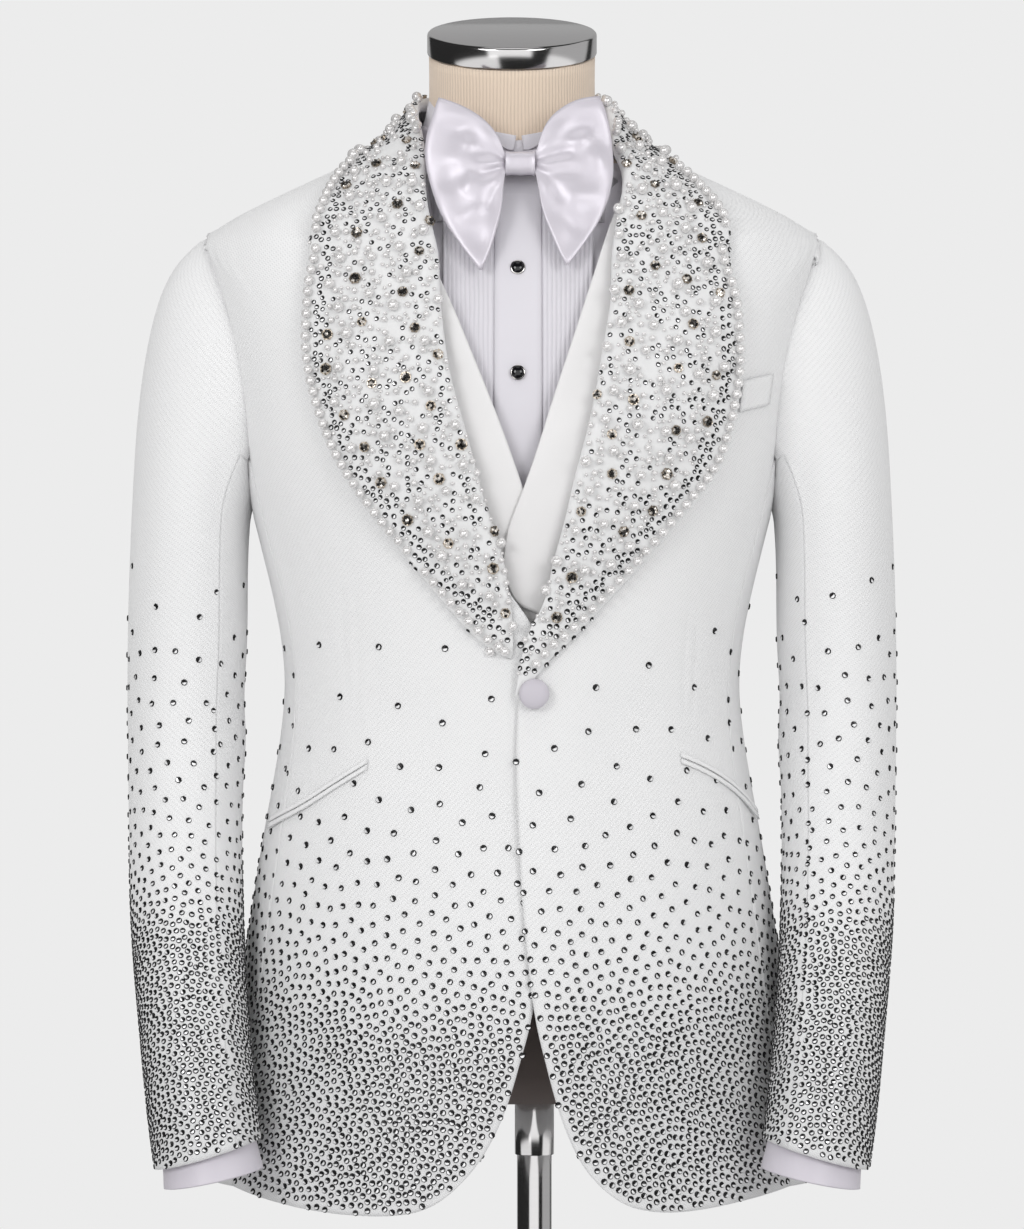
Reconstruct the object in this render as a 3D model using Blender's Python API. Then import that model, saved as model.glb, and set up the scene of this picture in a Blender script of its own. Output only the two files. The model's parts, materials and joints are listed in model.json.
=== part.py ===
"""White shawl-collar tuxedo on a limbless dress form: jacket, waistcoat, shirt, bow tie and stand.

Every length below is in millimetres with the floor at z = 0, the front facing -Y and the
wearer's left on +X. Cloth is a thin wall between an outer and an inner skin. A place on the
body is a turn in degrees (0 at the centre front, 90 at the wearer's left side, -90 at the
right, 180 at the centre back) and a height.
"""

import math

import bpy
import bmesh
from mathutils import Matrix, Vector

for old in list(bpy.data.objects):
    bpy.data.objects.remove(old, do_unlink=True)

# ---------------------------------------------------------------- driving sizes
JACKET_CLOTH = 2.0      # jacket wall
WAISTCOAT_CLOTH = 1.5   # waistcoat wall
SHIRT_CLOTH = 1.1       # shirt wall
SEAM = 0.22             # each edge is held back this much, so a seam is twice as wide
SHOULDER = 1333.0       # height of the jacket's shoulder point
NECK_SEAM = 1411.0      # height of the jacket's neck seam
PEARL_HIGH = 3.6        # how far a border pearl stands off the collar
PEARL_STEP = 10.2       # from one border pearl to the next
PEARL_EDGE = 7.0        # from the collar's edge to the middle of its border pearls
REST = 3.1              # middle of the collar's wall above the jacket's surface
FRONT_LAP = 3.4         # how far the upper front is raised over the lower one
POLE_X = 16.0           # the pole stands this far to the wearer's left
CAP_TILT = 16.5         # the neck cap leans forward, degrees
NECK_R = 60.0           # neck and cap radius

# Padded body: height, half width, front depth, back depth, roundness of the section.
FORM = (
    (720, 160, 100, 112, 2.3),
    (800, 166, 104, 116, 2.3),
    (880, 160, 103, 110, 2.3),
    (960, 146, 100, 98, 2.25),
    (1030, 137, 98, 90, 2.2),
    (1090, 146, 106, 97, 2.3),
    (1150, 160, 114, 109, 2.4),
    (1200, 170, 115, 114, 2.5),
    (1250, 177, 108, 115, 2.6),
    (1290, 184, 96, 110, 2.6),
    (1315, 188, 87, 102, 2.5),
    (1330, 181, 80, 96, 2.45),
    (1345, 162, 74, 89, 2.35),
    (1360, 132, 69, 81, 2.25),
    (1375, 96, 65, 72, 2.15),
    (1390, 70, 62, 63, 2.05),
    (1410, 60.5, 60, 59, 2.0),
    (1432, 60, 60, 60, 2.0),
    (1470, 60, 60, 60, 2.0),
)

# Jacket, outside: the same columns.
JACKET = (
    (640, 219, 149, 152, 2.0),
    (715, 208, 146, 148, 2.0),
    (786, 197, 142, 145, 2.0),
    (858, 186, 138, 142, 2.03),
    (915, 177, 134, 136, 2.08),
    (972, 165.5, 130, 128, 2.15),
    (1015, 160.5, 128, 121, 2.2),
    (1058, 166, 130, 122, 2.25),
    (1087, 174, 134, 126, 2.3),
    (1115, 181, 138, 130, 2.35),
    (1150, 189, 141, 135, 2.42),
    (1200, 197, 139, 138, 2.5),
    (1250, 204, 131, 135, 2.6),
    (1290, 212, 119, 127, 2.6),
    (1315, 219, 109, 119, 2.55),
    (1333, 223, 102, 111, 2.5),
    (1344, 203, 96, 105, 2.45),
    (1358, 172, 90, 98, 2.35),
    (1373, 140, 83, 91, 2.25),
    (1387, 108, 78, 84, 2.15),
    (1401, 87, 73, 78, 2.1),
    (1416, 74, 69, 72, 2.05),
    (1430, 65.5, 66, 67, 2.0),
    (1460, 64, 64, 65, 2.0),
)

# Armholes: turn and height, from the shoulder point down the front and up the back.
JACKET_ARMHOLE_FRONT = ((90, 1333), (79, 1313), (74, 1288), (71, 1265), (69, 1240),
                        (68.5, 1215), (70, 1192), (74, 1172))
JACKET_ARMHOLE_LOW = ((74, 1172), (81, 1146), (90, 1133), (99, 1146), (106, 1172))
JACKET_ARMHOLE_BACK = ((106, 1172), (110, 1192), (112, 1215), (112, 1240), (110, 1265),
                       (107, 1288), (102, 1313), (90, 1333))
BODY_ARMHOLE_FRONT = ((90, 1316), (78, 1300), (72, 1278), (69, 1250), (69, 1220),
                      (72, 1192), (80, 1168), (90, 1156))
BODY_ARMHOLE_BACK = ((90, 1156), (100, 1168), (108, 1192), (111, 1220), (111, 1250),
                     (108, 1278), (102, 1300), (90, 1316))

# Sleeve tube: outer edge x and z, inner edge x and z, middle y, half depth.
SLEEVE = (
    (271.5, 1150, 188.0, 1120, 0, 68),
    (274.0, 1100, 188.5, 1080, 2, 66),
    (275.5, 1045, 188.5, 1040, 3, 63),
    (275.5, 1005, 190.0, 1005, 0, 61),
    (274.5, 965, 191.0, 966, -6, 60),
    (273.0, 905, 191.0, 908, -20, 57),
    (269.5, 835, 189.0, 841, -47, 53),
    (261.5, 774, 184.0, 784, -77, 50),
    (255.5, 721, 178.5, 736, -99, 46),
    (248.5, 677, 173.5, 699, -115, 43),
)

# Front edges, from the top down to the turn of the hem: x and height.
LEFT_EDGE = ((1.5, 1003), (1, 967), (3, 928), (5.4, 889), (7.2, 850), (10.7, 811),
             (14.6, 783), (21, 760), (26, 739), (31, 721), (37.5, 703), (47, 682),
             (58.5, 666.5), (74, 655))
RIGHT_EDGE = ((35, 1003), (34, 967), (31.5, 928), (28, 889), (24, 850), (19.5, 811),
              (14.8, 783), (10.7, 767), (5, 752), (0, 731), (-7.6, 710), (-18, 690),
              (-33.4, 669), (-49, 656))
# The back vent hangs open below its top: turn and height of each side's edge.
VENT_LEFT = ((166.5, 656), (171.0, 720), (176.0, 800), (179.9, 862))
VENT_RIGHT = ((-174.0, 656), (-176.0, 720), (-178.4, 800), (-179.9, 862))
LEFT_HEM = ((74, 655), (92, 649.5), (112.5, 647.5), (139, 649.5), (166, 653.5), (196, 658.5))
RIGHT_HEM = ((-49, 656), (-70, 647.5), (-101, 645.5), (-137, 647.5), (-170, 653), (-196, 658.5))

# Collars, from the tip up to the side of the neck: roll x, roll z, edge x, edge z.
COLLAR_LEFT = (
    (2, 1006, 5, 1001),
    (6, 1033, 14, 1015),
    (13.5, 1058, 29, 1034),
    (20.5, 1067, 44, 1047),
    (26.7, 1091, 68, 1073),
    (35.7, 1121, 93, 1101),
    (45, 1161, 125, 1140),
    (54.4, 1195, 146, 1171),
    (63.5, 1245, 159, 1226),
    (70.2, 1284, 159, 1277),
    (72.8, 1338, 152, 1326),
    (72.6, 1384, 131, 1363),
    (69, 1408, 113, 1379),
)
COLLAR_RIGHT = (
    (1, 1040, 0.5, 1029),
    (1, 1052, -10, 1033),
    (0, 1061, -23, 1042),
    (-1.9, 1080, -47.5, 1070),
    (-9.4, 1110, -74, 1103),
    (-19.8, 1140, -99, 1133),
    (-31, 1183, -128, 1180),
    (-44, 1230, -144.5, 1236),
    (-51.3, 1287, -145.5, 1284),
    (-56, 1334, -141, 1334),
    (-61, 1377, -127, 1365),
    (-64.5, 1408, -113, 1381),
)
# Round the back of the neck: turn, roll z, edge z.
COLLAR_BACK = ((90, 1427, 1383.5), (112, 1433, 1386), (135, 1438, 1390), (158, 1441, 1393),
               (179.8, 1442, 1394))

# Waistcoat neck edges from the centre front up to the shoulder: x and height.
WAISTCOAT_V_LEFT = ((-7.5, 1110), (8, 1152), (19, 1183), (27, 1210), (36.4, 1236),
                    (44.5, 1262), (51, 1279), (57, 1299), (63, 1317), (70, 1338), (75, 1358))
WAISTCOAT_V_RIGHT = ((20, 1110), (7.3, 1152), (-4, 1184), (-13, 1207), (-25, 1236),
                     (-36, 1263), (-47, 1287), (-57, 1309), (-65, 1332), (-72, 1358))

# Bow tie lobes seen from the front: x and height along the top, the end and the underside.
BOW_RIGHT_TOP = ((-2.2, 1381), (-5.0, 1382.4), (-9.5, 1398), (-17, 1406.5), (-27.6, 1414.5),
                 (-38.7, 1420), (-50.7, 1424))
BOW_RIGHT_END = ((-50.7, 1424), (-55.5, 1409), (-60.4, 1394), (-61.5, 1382), (-58.5, 1366),
                 (-53, 1349), (-46, 1335), (-39.5, 1325), (-31.5, 1313), (-21.3, 1301.5))
BOW_RIGHT_LOW = ((-2.2, 1374), (-5.0, 1372.6), (-6.3, 1356), (-7.6, 1341), (-12.2, 1325.5),
                 (-16, 1313), (-21.3, 1301.5))
BOW_LEFT_TOP = ((13.8, 1381), (16.6, 1382.4), (20.5, 1400), (27, 1411), (38.7, 1419.7),
                (50.6, 1424.6), (60.4, 1425))
BOW_LEFT_END = ((60.4, 1425), (65.5, 1412.5), (68.5, 1400), (71, 1380), (69.5, 1362),
                (64.6, 1343), (55.5, 1327.5), (46.4, 1315.5), (38, 1304.8))
BOW_LEFT_LOW = ((13.8, 1374), (16.6, 1372.6), (18.6, 1357), (21.3, 1342), (26.9, 1328),
                (33.2, 1313), (38, 1304.8))
KNOT_X = 5.8
KNOT_Z = 1377.5


# ---------------------------------------------------------------- sections and lines
def section(rows, height):
    """Half width, front depth, back depth and roundness at a height, eased between rows."""
    height = min(max(height, rows[0][0]), rows[-1][0])
    i = 0
    while i < len(rows) - 2 and height > rows[i + 1][0]:
        i += 1
    low, high = rows[i], rows[i + 1]
    before, after = rows[max(i - 1, 0)], rows[min(i + 2, len(rows) - 1)]
    gap = high[0] - low[0]
    t = (height - low[0]) / gap
    found = []
    for c in range(1, 5):
        slope = (high[c] - low[c]) / gap
        start = (high[c] - before[c]) / (high[0] - before[0])
        end = (after[c] - low[c]) / (after[0] - low[0])
        if abs(start) > 3 * abs(slope):
            start = 3 * abs(slope) * math.copysign(1, start)
        if abs(end) > 3 * abs(slope):
            end = 3 * abs(slope) * math.copysign(1, end)
        found.append(
            low[c] * (2 * t**3 - 3 * t**2 + 1)
            + high[c] * (3 * t**2 - 2 * t**3)
            + gap * start * (t**3 - 2 * t**2 + t)
            + gap * end * (t**3 - t**2)
        )
    return found


def smooth(t):
    """0 below 0, 1 above 1 and an eased step between."""
    t = min(max(t, 0.0), 1.0)
    return t * t * (3 - 2 * t)


def skirt_wave(turn, height):
    """Soft upright folds of the jacket's skirt, growing towards the hem."""
    fall = smooth((900 - height) / 230)
    back = smooth((abs(turn) - 70) / 50)
    wave = math.sin(math.radians(abs(turn) * 7 + 40))
    front = math.sin(math.radians(turn * 5.2 + 15)) * (1 - back)
    return fall * (3.4 * wave * back + 1.5 * front)


def spot(rows, turn, height):
    """The point of a body's surface at a turn and a height."""
    wide, front, back, roundness = section(rows, height)
    a = math.radians(turn)
    power = 2 / roundness
    x = wide * math.copysign(abs(math.sin(a)) ** power, math.sin(a))
    depth = front if math.cos(a) > 0 else back
    y = -depth * math.copysign(abs(math.cos(a)) ** power, math.cos(a))
    return Vector((x, y, height))


def on(rows, turn, height, out=0.0):
    """The same point moved out along the surface's normal."""
    point = spot(rows, turn, height)
    side = spot(rows, turn + 0.6, height) - spot(rows, turn - 0.6, height)
    rise = spot(rows, turn, height + 1.5) - spot(rows, turn, height - 1.5)
    if rows is JACKET:
        out += skirt_wave(turn, height)
    return point + side.cross(rise).normalized() * out


def turn_of(rows, x, height):
    """The turn whose point on the front has this x."""
    wide, front, back, roundness = section(rows, height)
    share = min(abs(x) / wide, 1.0)
    return math.degrees(math.asin(share ** (roundness / 2))) * (1 if x >= 0 else -1)


def plan(turn, height):
    """Turn and height as one flat plane in about millimetres, stretched over the shoulders."""
    return (turn * 3.0, height + max(height - 1330.0, 0.0) * 0.9)


def unplan(place):
    """Back from the flat plane to turn and height."""
    low = place[1]
    return place[0] / 3.0, low if low <= 1330 else 1330 + (low - 1330) / 1.9


def spline(points, steps=10):
    """A smooth line through the points, of many short steps."""
    count = len(points)
    line = []
    for i in range(count - 1):
        p1, p2 = points[i], points[i + 1]
        p0, p3 = points[max(i - 1, 0)], points[min(i + 2, count - 1)]
        for s in range(steps):
            t = s / steps
            line.append(tuple(
                0.5 * (2 * b + (c - a) * t + (2 * a - 5 * b + 4 * c - d) * t * t
                       + (3 * b - a - 3 * c + d) * t**3)
                for a, b, c, d in zip(p0, p1, p2, p3)
            ))
    line.append(tuple(points[-1]))
    return line


def walk(line, count):
    """count + 1 points evenly spaced along a line."""
    lengths = [0.0]
    for a, b in zip(line, line[1:]):
        lengths.append(lengths[-1] + math.dist(a, b))
    found = []
    k = 0
    for step in range(count + 1):
        goal = lengths[-1] * step / count
        while k < len(line) - 2 and lengths[k + 1] < goal:
            k += 1
        gap = lengths[k + 1] - lengths[k]
        t = (goal - lengths[k]) / gap if gap else 0.0
        found.append(tuple(a + (b - a) * t for a, b in zip(line[k], line[k + 1])))
    return found


def chain(parts):
    """Several lines end to end, each (points, count), keeping the corners between them."""
    found = []
    for points, count in parts:
        found = found[:-1] + walk(spline([plan(*p) for p in points]), count)
    return found


def patch(left, right, low, high):
    """A grid of places filling four border lines; left and right run up, low and high across."""
    up, across = len(left) - 1, len(low) - 1
    grid = []
    for j in range(up + 1):
        v = j / up
        row = []
        for i in range(across + 1):
            u = i / across
            row.append(tuple(
                (1 - u) * left[j][c] + u * right[j][c] + (1 - v) * low[i][c] + v * high[i][c]
                - (1 - u) * (1 - v) * left[0][c] - u * (1 - v) * right[0][c]
                - (1 - u) * v * left[up][c] - u * v * right[up][c]
                for c in (0, 1)
            ))
        grid.append([unplan(place) for place in row])
    return grid


# ---------------------------------------------------------------- solids
def material(name, colour, rough, metal=0.0):
    made = bpy.data.materials.new(name)
    made.use_nodes = True
    shader = made.node_tree.nodes["Principled BSDF"]
    shader.inputs["Base Color"].default_value = (*colour, 1.0)
    shader.inputs["Roughness"].default_value = rough
    shader.inputs["Metallic"].default_value = metal
    made.diffuse_color = (*colour, 1.0)
    return made


TINTS = {
    "jacket": ((0.83, 0.83, 0.84), 0.85, 0.0),
    "collar": ((0.76, 0.75, 0.77), 0.6, 0.0),
    "waistcoat": ((0.80, 0.79, 0.78), 0.6, 0.0),
    "shirt": ((0.80, 0.80, 0.86), 0.7, 0.0),
    "satin": ((0.72, 0.69, 0.78), 0.35, 0.0),
    "jersey": ((0.66, 0.56, 0.46), 0.9, 0.0),
    "steel": ((0.55, 0.55, 0.56), 0.25, 1.0),
    "stud": ((0.05, 0.05, 0.06), 0.15, 0.0),
}


def finish(name, work, tint, angle=40):
    """Close off a mesh: faces out, metres, one object and one material of its own."""
    bmesh.ops.recalc_face_normals(work, faces=work.faces[:])
    for corner in work.verts:
        corner.co = corner.co * 0.001
    mesh = bpy.data.meshes.new(name)
    work.to_mesh(mesh)
    work.free()
    made = bpy.data.objects.new(name, mesh)
    bpy.context.scene.collection.objects.link(made)
    mesh.materials.append(material(name + "_finish", *TINTS[tint]))
    mesh.shade_smooth()
    mesh.set_sharp_from_angle(angle=math.radians(angle))
    return made


def zip_rows(work, low, high):
    """Faces between two rows of corners, also where they hold different numbers of them."""
    if len(low) == len(high):
        for a, b, c, d in zip(low, low[1:], high[1:], high):
            work.faces.new((a, b, c, d))
        return
    i = j = 0
    while i < len(low) - 1 or j < len(high) - 1:
        next_low = (i + 1) / (len(low) - 1)
        next_high = (j + 1) / (len(high) - 1)
        if j == len(high) - 1 or (i < len(low) - 1 and next_low <= next_high + 1e-9):
            work.faces.new((low[i], low[i + 1], high[j]))
            i += 1
        else:
            work.faces.new((low[i], high[j + 1], high[j]))
            j += 1


def wall(name, outer, inner, tint, loop=False):
    """A closed cloth wall from an outer and an inner grid of points."""
    work = bmesh.new()
    skins = []
    for grid in (outer, inner):
        rows = [[work.verts.new(point) for point in row] for row in grid]
        if loop:
            rows = [row + row[:1] for row in rows]
        skins.append(rows)
    top, under = skins
    for rows in skins:
        for low, high in zip(rows, rows[1:]):
            zip_rows(work, low, high)
    zip_rows(work, top[0], under[0])
    zip_rows(work, top[-1], under[-1])
    if not loop:
        for side in (0, -1):
            zip_rows(work, [row[side] for row in top], [row[side] for row in under])
    return finish(name, work, tint)


def hold_back(outer, inner, gap=SEAM):
    """Move a grid's border towards its middle, so that neighbours stay clear at a seam."""
    for grid in (outer, inner):
        for row in grid:
            for edge, near in ((0, 1), (-1, -2)):
                row[edge] = row[edge] + (row[near] - row[edge]).normalized() * gap
        for edge, near in ((0, 1), (-1, -2)):
            grid[edge] = [
                a + (b - a).normalized() * gap for a, b in zip(grid[edge], grid[near])
            ]


def panel(name, rows, places, tint, cloth, out=0.0, lift=None):
    """A cloth wall lying on a body's surface; out is its outer skin's distance from it."""
    outer, inner = [], []
    for line in places:
        rise = [out + (lift(turn, height) if lift else 0.0) for turn, height in line]
        outer.append([on(rows, *p, r) for p, r in zip(line, rise)])
        inner.append([on(rows, *p, r - cloth) for p, r in zip(line, rise)])
    hold_back(outer, inner)
    return wall(name, outer, inner, tint)


def turned(name, profile, tint, centre=(0, 0, 0), around=28, lean=None):
    """A solid of revolution about an upright line, from radius and height pairs."""
    work = bmesh.new()
    rings = []
    for radius, height in profile:
        ring = []
        for k in range(around if radius > 0 else 1):
            a = 2 * math.pi * k / around
            point = Vector((radius * math.cos(a), radius * math.sin(a), height))
            if lean is not None:
                point = lean @ point
            ring.append(work.verts.new(point + Vector(centre)))
        rings.append(ring)
    for low, high in zip(rings, rings[1:] + rings[:1]):
        for k in range(around):
            corners = []
            for ring, at in ((low, k), (low, k + 1), (high, k + 1), (high, k)):
                corner = ring[at % len(ring)]
                if corner not in corners:
                    corners.append(corner)
            if len(corners) > 2:
                work.faces.new(corners)
    return finish(name, work, tint, 30)


# ---------------------------------------------------------------- collar lines
def collar_stations(table, side):
    """Roll and edge lines of one collar in the flat plane, tip first, out to the back seam."""
    rolls, edges = [], []
    for roll_x, roll_z, edge_x, edge_z in table:
        rolls.append(plan(turn_of(JACKET, roll_x, roll_z), roll_z))
        edges.append(plan(turn_of(JACKET, edge_x, edge_z), edge_z))
    for turn, roll_z, edge_z in COLLAR_BACK:
        rolls.append(plan(turn * side, roll_z))
        edges.append(plan((turn + 3 if turn < 100 else turn) * side, edge_z))
    return spline(rolls), spline(edges)


def across_collar(table, side, share):
    """Places at a share of the way from the roll to the edge, as far as the side of the neck."""
    rolls, edges = collar_stations(table, side)
    found = []
    for k in range(0, len(rolls), 5):
        turn, height = unplan(rolls[k])
        if abs(turn) > 84:
            break
        deep = share + 0.1 * smooth((height - 1370) / 40)
        found.append(unplan(tuple(a + (b - a) * deep for a, b in zip(rolls[k], edges[k]))))
    return found


def collar(name, table, side, lift):
    """Shawl collar: a wall curled under at its roll, with its border of pearls raised."""
    rolls, edges = collar_stations(table, side)
    pearls = round(sum(
        (on(JACKET, *unplan(a)) - on(JACKET, *unplan(b))).length
        for a, b in zip(edges, edges[1:])
    ) / PEARL_STEP)
    fine, coarse = 2 * pearls, 36
    # Even steps along the edge, with the roll's place at the same share.
    lengths = [0.0]
    for a, b in zip(edges, edges[1:]):
        lengths.append(lengths[-1] + (on(JACKET, *unplan(a)) - on(JACKET, *unplan(b))).length)

    def at(share):
        goal = share * lengths[-1]
        k = 0
        while k < len(lengths) - 2 and lengths[k + 1] < goal:
            k += 1
        t = (goal - lengths[k]) / (lengths[k + 1] - lengths[k])
        roll = tuple(a + (b - a) * t for a, b in zip(rolls[k], rolls[k + 1]))
        edge = tuple(a + (b - a) * t for a, b in zip(edges[k], edges[k + 1]))
        return roll, edge

    def place(share, distance, height):
        """distance from the roll towards the edge; below 0 it is beyond the roll."""
        roll, edge = at(share)
        width = (on(JACKET, *unplan(roll)) - on(JACKET, *unplan(edge))).length
        w = distance / width if distance < 1000 else 1 - (distance - 1000) / width
        spread = tuple(a + (b - a) * w for a, b in zip(roll, edge))
        turn, level = unplan(spread)
        return on(JACKET, turn, level, height + lift(turn, level))

    def path(share):
        """Middle line of the wall: (distance, height) from the curl to the border's start."""
        roll, edge = at(share)
        turn = abs(unplan(roll)[0])
        width = (on(JACKET, *unplan(roll)) - on(JACKET, *unplan(edge))).length
        back = smooth((turn - 55) / 60)
        curl = smooth((unplan(roll)[1] - 1070) / 30)
        reach = 1.5 + 10 * back
        sunk = 2.4 + 0.9 * back
        flat = [0.0, 0.7, 1.4, 2.1, 2.8]
        bent = [reach, reach / 2, -0.4, 0.4, 4.0]
        heights = [-sunk, -sunk - 0.2, -0.6, 2.4, 4.6]
        line = []
        for even, bend, high in zip(flat, bent, heights):
            line.append((even + (bend - even) * curl, REST + (high - REST) * curl))
        belly = 4.6 - 1.2 * back
        body = max(width - 1.8 * PEARL_EDGE, 3.6)
        for t in (0.2, 0.45, 0.72, 1.0):
            rise = REST + (belly - REST) * curl * (1 - t) ** 1.2
            line.append((2.8 + (body - 2.8) * t + 0.6 * (1 - t), rise))
        return line

    def skins(share):
        line = path(share)
        found = ([], [])
        for k, (d, h) in enumerate(line):
            a, b = line[max(k - 1, 0)], line[min(k + 1, len(line) - 1)]
            run = (b[0] - a[0], b[1] - a[1])
            size = math.hypot(*run)
            normal = (-run[1] / size, run[0] / size)
            for skin, half in zip(found, (JACKET_CLOTH / 2, -JACKET_CLOTH / 2)):
                skin.append(place(share, d + normal[0] * half, h + normal[1] * half))
        return found

    work = bmesh.new()
    shares = [k / coarse for k in range(coarse + 1)]
    both = [skins(share) for share in shares]
    outer = [[work.verts.new(skin[0][k]) for skin in both] for k in (0, 2, 3, 4, 5, 6, 7, 8)]
    inner = [[work.verts.new(skin[1][k]) for skin in both] for k in (0, 2, 4, 5, 6, 7)]
    border = []
    for k in range(fine + 1):
        pearl = k % 2 and unplan(at(k / fine)[1])[1] > 1017
        rise = REST + 1 + (PEARL_HIGH if pearl else 0.0)
        border.append(work.verts.new(place(k / fine, 1000 + PEARL_EDGE, rise)))
    rim = [work.verts.new(place(share, 1000.0, REST + 0.9)) for share in shares]
    under = [work.verts.new(place(share, 1000.0, REST - 0.9)) for share in shares]
    round_rows = outer + [border, rim, under] + inner[::-1]
    for low, high in zip(round_rows, round_rows[1:] + round_rows[:1]):
        zip_rows(work, low, high)
    for end in (0, -1):
        work.faces.new([row[end] for row in round_rows])
    bmesh.ops.triangulate(work, faces=[f for f in work.faces if len(f.verts) > 4])
    return finish(name, work, "collar", 60)


# ---------------------------------------------------------------- the jacket
def left_lift(turn, height):
    """The wearer's left front and collar lie over the right ones round the closure."""
    x = spot(JACKET, turn, height).x
    if abs(turn) > 90:
        return 0.0
    return FRONT_LAP * smooth((66 - x) / 26) * smooth((height - 715) / 60) * smooth((1125 - height) / 60)


def level(turn, height):
    return 0.0


def seam_places(side):
    """Front and back side seams, from the hem to the foot of the armhole."""
    front = [(t * side, z) for t, z in ((65, 659.5), (65.5, 800), (66.5, 960), (69, 1080), (74, 1172))]
    back = [(t * side, z) for t, z in ((117, 658), (117.5, 800), (118, 960), (113, 1080), (106, 1172))]
    return front, back


def jacket_side(side, word):
    front, back = seam_places(side)
    low = [(front[0][0] + (back[0][0] - front[0][0]) * k / 4, 659.5 - 1.5 * k / 4) for k in range(5)]
    top = [(turn * side, z) for turn, z in JACKET_ARMHOLE_LOW]
    places = patch(chain([(front, 8)]), chain([(back, 8)]), chain([(low, 6)]), chain([(top, 6)]))
    panel("jacket_side_" + word, JACKET, places, "jacket", JACKET_CLOTH)


def jacket_back(side, word):
    front, back = seam_places(side)
    arm = [(turn * side, z) for turn, z in JACKET_ARMHOLE_BACK]
    shoulder = [(90.35 * side, z) for z in (SHOULDER, 1358, 1387, NECK_SEAM)]
    vent = VENT_LEFT if side > 0 else VENT_RIGHT
    centre = [(179.9 * side, z) for z in (862, 1000, 1160, 1300, NECK_SEAM)]
    low = [(117 * side, 658), (140 * side, 656), vent[0]]
    neck = [(90.35 * side, NECK_SEAM), (135 * side, NECK_SEAM), (179.9 * side, NECK_SEAM)]
    places = patch(
        chain([(back, 8), (arm, 5), (shoulder, 4)]),
        chain([(vent, 4), (centre, 13)]),
        chain([(low, 7)]),
        chain([(neck, 7)]),
    )
    panel("jacket_back_" + word, JACKET, places, "jacket", JACKET_CLOTH)


def jacket_front(side, word, edge, hem, table, lift):
    front, back = seam_places(side)
    arm = [(turn * side, z) for turn, z in JACKET_ARMHOLE_FRONT][::-1]
    shoulder = [(89.65 * side, z) for z in (SHOULDER, 1358, 1387, NECK_SEAM)]
    edge_line = [(turn_of(JACKET, x, z), z) for x, z in edge][::-1]
    bend = [p for p in edge_line if p[1] <= 783.5]
    straight = [p for p in edge_line if p[1] >= 782.5]
    hem_line = [(turn_of(JACKET, x, z), z) for x, z in hem[:-1]] + [front[0]]
    roll = across_collar(table, side, 0.17)
    roll = [p for p in roll if p[1] > 1088]
    gorge = [p for p in roll if p[1] > 1368]
    roll = [p for p in roll if p[1] <= 1368] + gorge[:1]
    start = (edge_line[-1], (turn_of(JACKET, edge[0][0] + side * 4, 1032), 1032), roll[0])
    neck = gorge + [(89.65 * side, NECK_SEAM)]
    places = patch(
        chain([(bend, 5), (straight, 3), (start, 2), (roll, 7)]),
        chain([(front, 8), (arm, 5), (shoulder, 4)]),
        chain([(hem_line, 9)]),
        chain([(neck, 9)]),
    )
    panel("jacket_front_" + word, JACKET, places, "jacket", JACKET_CLOTH, lift=lift)


def armhole_loop(rows, parts, side, around, out, into):
    """Points round an armhole, moved off the body and towards the hole's middle."""
    line = chain([([(turn * side, z) for turn, z in part], 40) for part in parts])
    places = [unplan(p) for p in walk(line, around)][:-1]
    points = [on(rows, *p, out) for p in places]
    middle = sum(points, Vector()) / len(points)
    return [p + (middle - p).normalized() * into for p in points]


def sleeve_points(side, loop, shrink, rows, caps):
    """Rings from the armhole to the sleeve's end; column 0 is outermost and they run forward."""
    around = len(loop)

    def ring(row, k):
        out_x, out_z, in_x, in_z, mid_y, half = row
        a = 2 * math.pi * k / around
        share = 0.5 + 0.5 * math.cos(a)
        ease = shrink * math.cos(a)
        x = in_x + (out_x - in_x) * share - ease
        z = in_z + (out_z - in_z) * share
        return Vector((side * x, mid_y - (half - shrink) * math.sin(a), z))

    grid = []
    for step in range(caps):
        t = step / caps
        line = []
        for k in range(around):
            a = 2 * math.pi * k / around
            start, end = loop[k], ring(rows[0], k)
            away = (end - start).length
            cap = 0.5 + 0.5 * math.cos(a)
            lead = Vector((side * (0.35 + 0.75 * cap), -0.35 * math.sin(a), -0.06 - 0.8 * (1 - cap)))
            lead = lead.normalized() * away * (0.75 - 0.15 * cap)
            drop = Vector((side * 0.02, 0, -1)) * away
            line.append(
                start * (2 * t**3 - 3 * t**2 + 1) + end * (3 * t**2 - 2 * t**3)
                + lead * (t**3 - 2 * t**2 + t) + drop * (t**3 - t**2)
            )
        grid.append(line)
    for row in rows:
        grid.append([ring(row, k) for k in range(around)])
    return grid


def inward(grid, cloth):
    """The inner skin of a sleeve, one cloth thickness inside its outer rings."""
    found = []
    around = len(grid[0])
    for r, row in enumerate(grid):
        middle = sum(row, Vector()) / around
        above, below = grid[max(r - 1, 0)], grid[min(r + 1, len(grid) - 1)]
        line = []
        for k in range(around):
            along = below[k] - above[k]
            across = row[(k + 1) % around] - row[k - 1]
            normal = along.cross(across).normalized()
            if normal.dot(row[k] - middle) < 0:
                normal = -normal
            line.append(row[k] - normal * cloth)
        found.append(line)
    return found


def elbow_folds(grid):
    """Soft cross folds at the bend of the arm and above the cuff."""
    around = len(grid[0])
    for r, row in enumerate(grid):
        middle = sum(row, Vector()) / around
        for k in range(around):
            a = 2 * math.pi * k / around
            inside = 0.5 - 0.5 * math.cos(a - 0.5)
            bend = smooth(1 - abs(row[k].z - 985) / 95)
            swell = math.sin(row[k].z / 15.0 + 1.6 * math.sin(a)) * 2.2 * bend * inside
            row[k] = row[k] + (row[k] - middle).normalized() * swell


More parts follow.
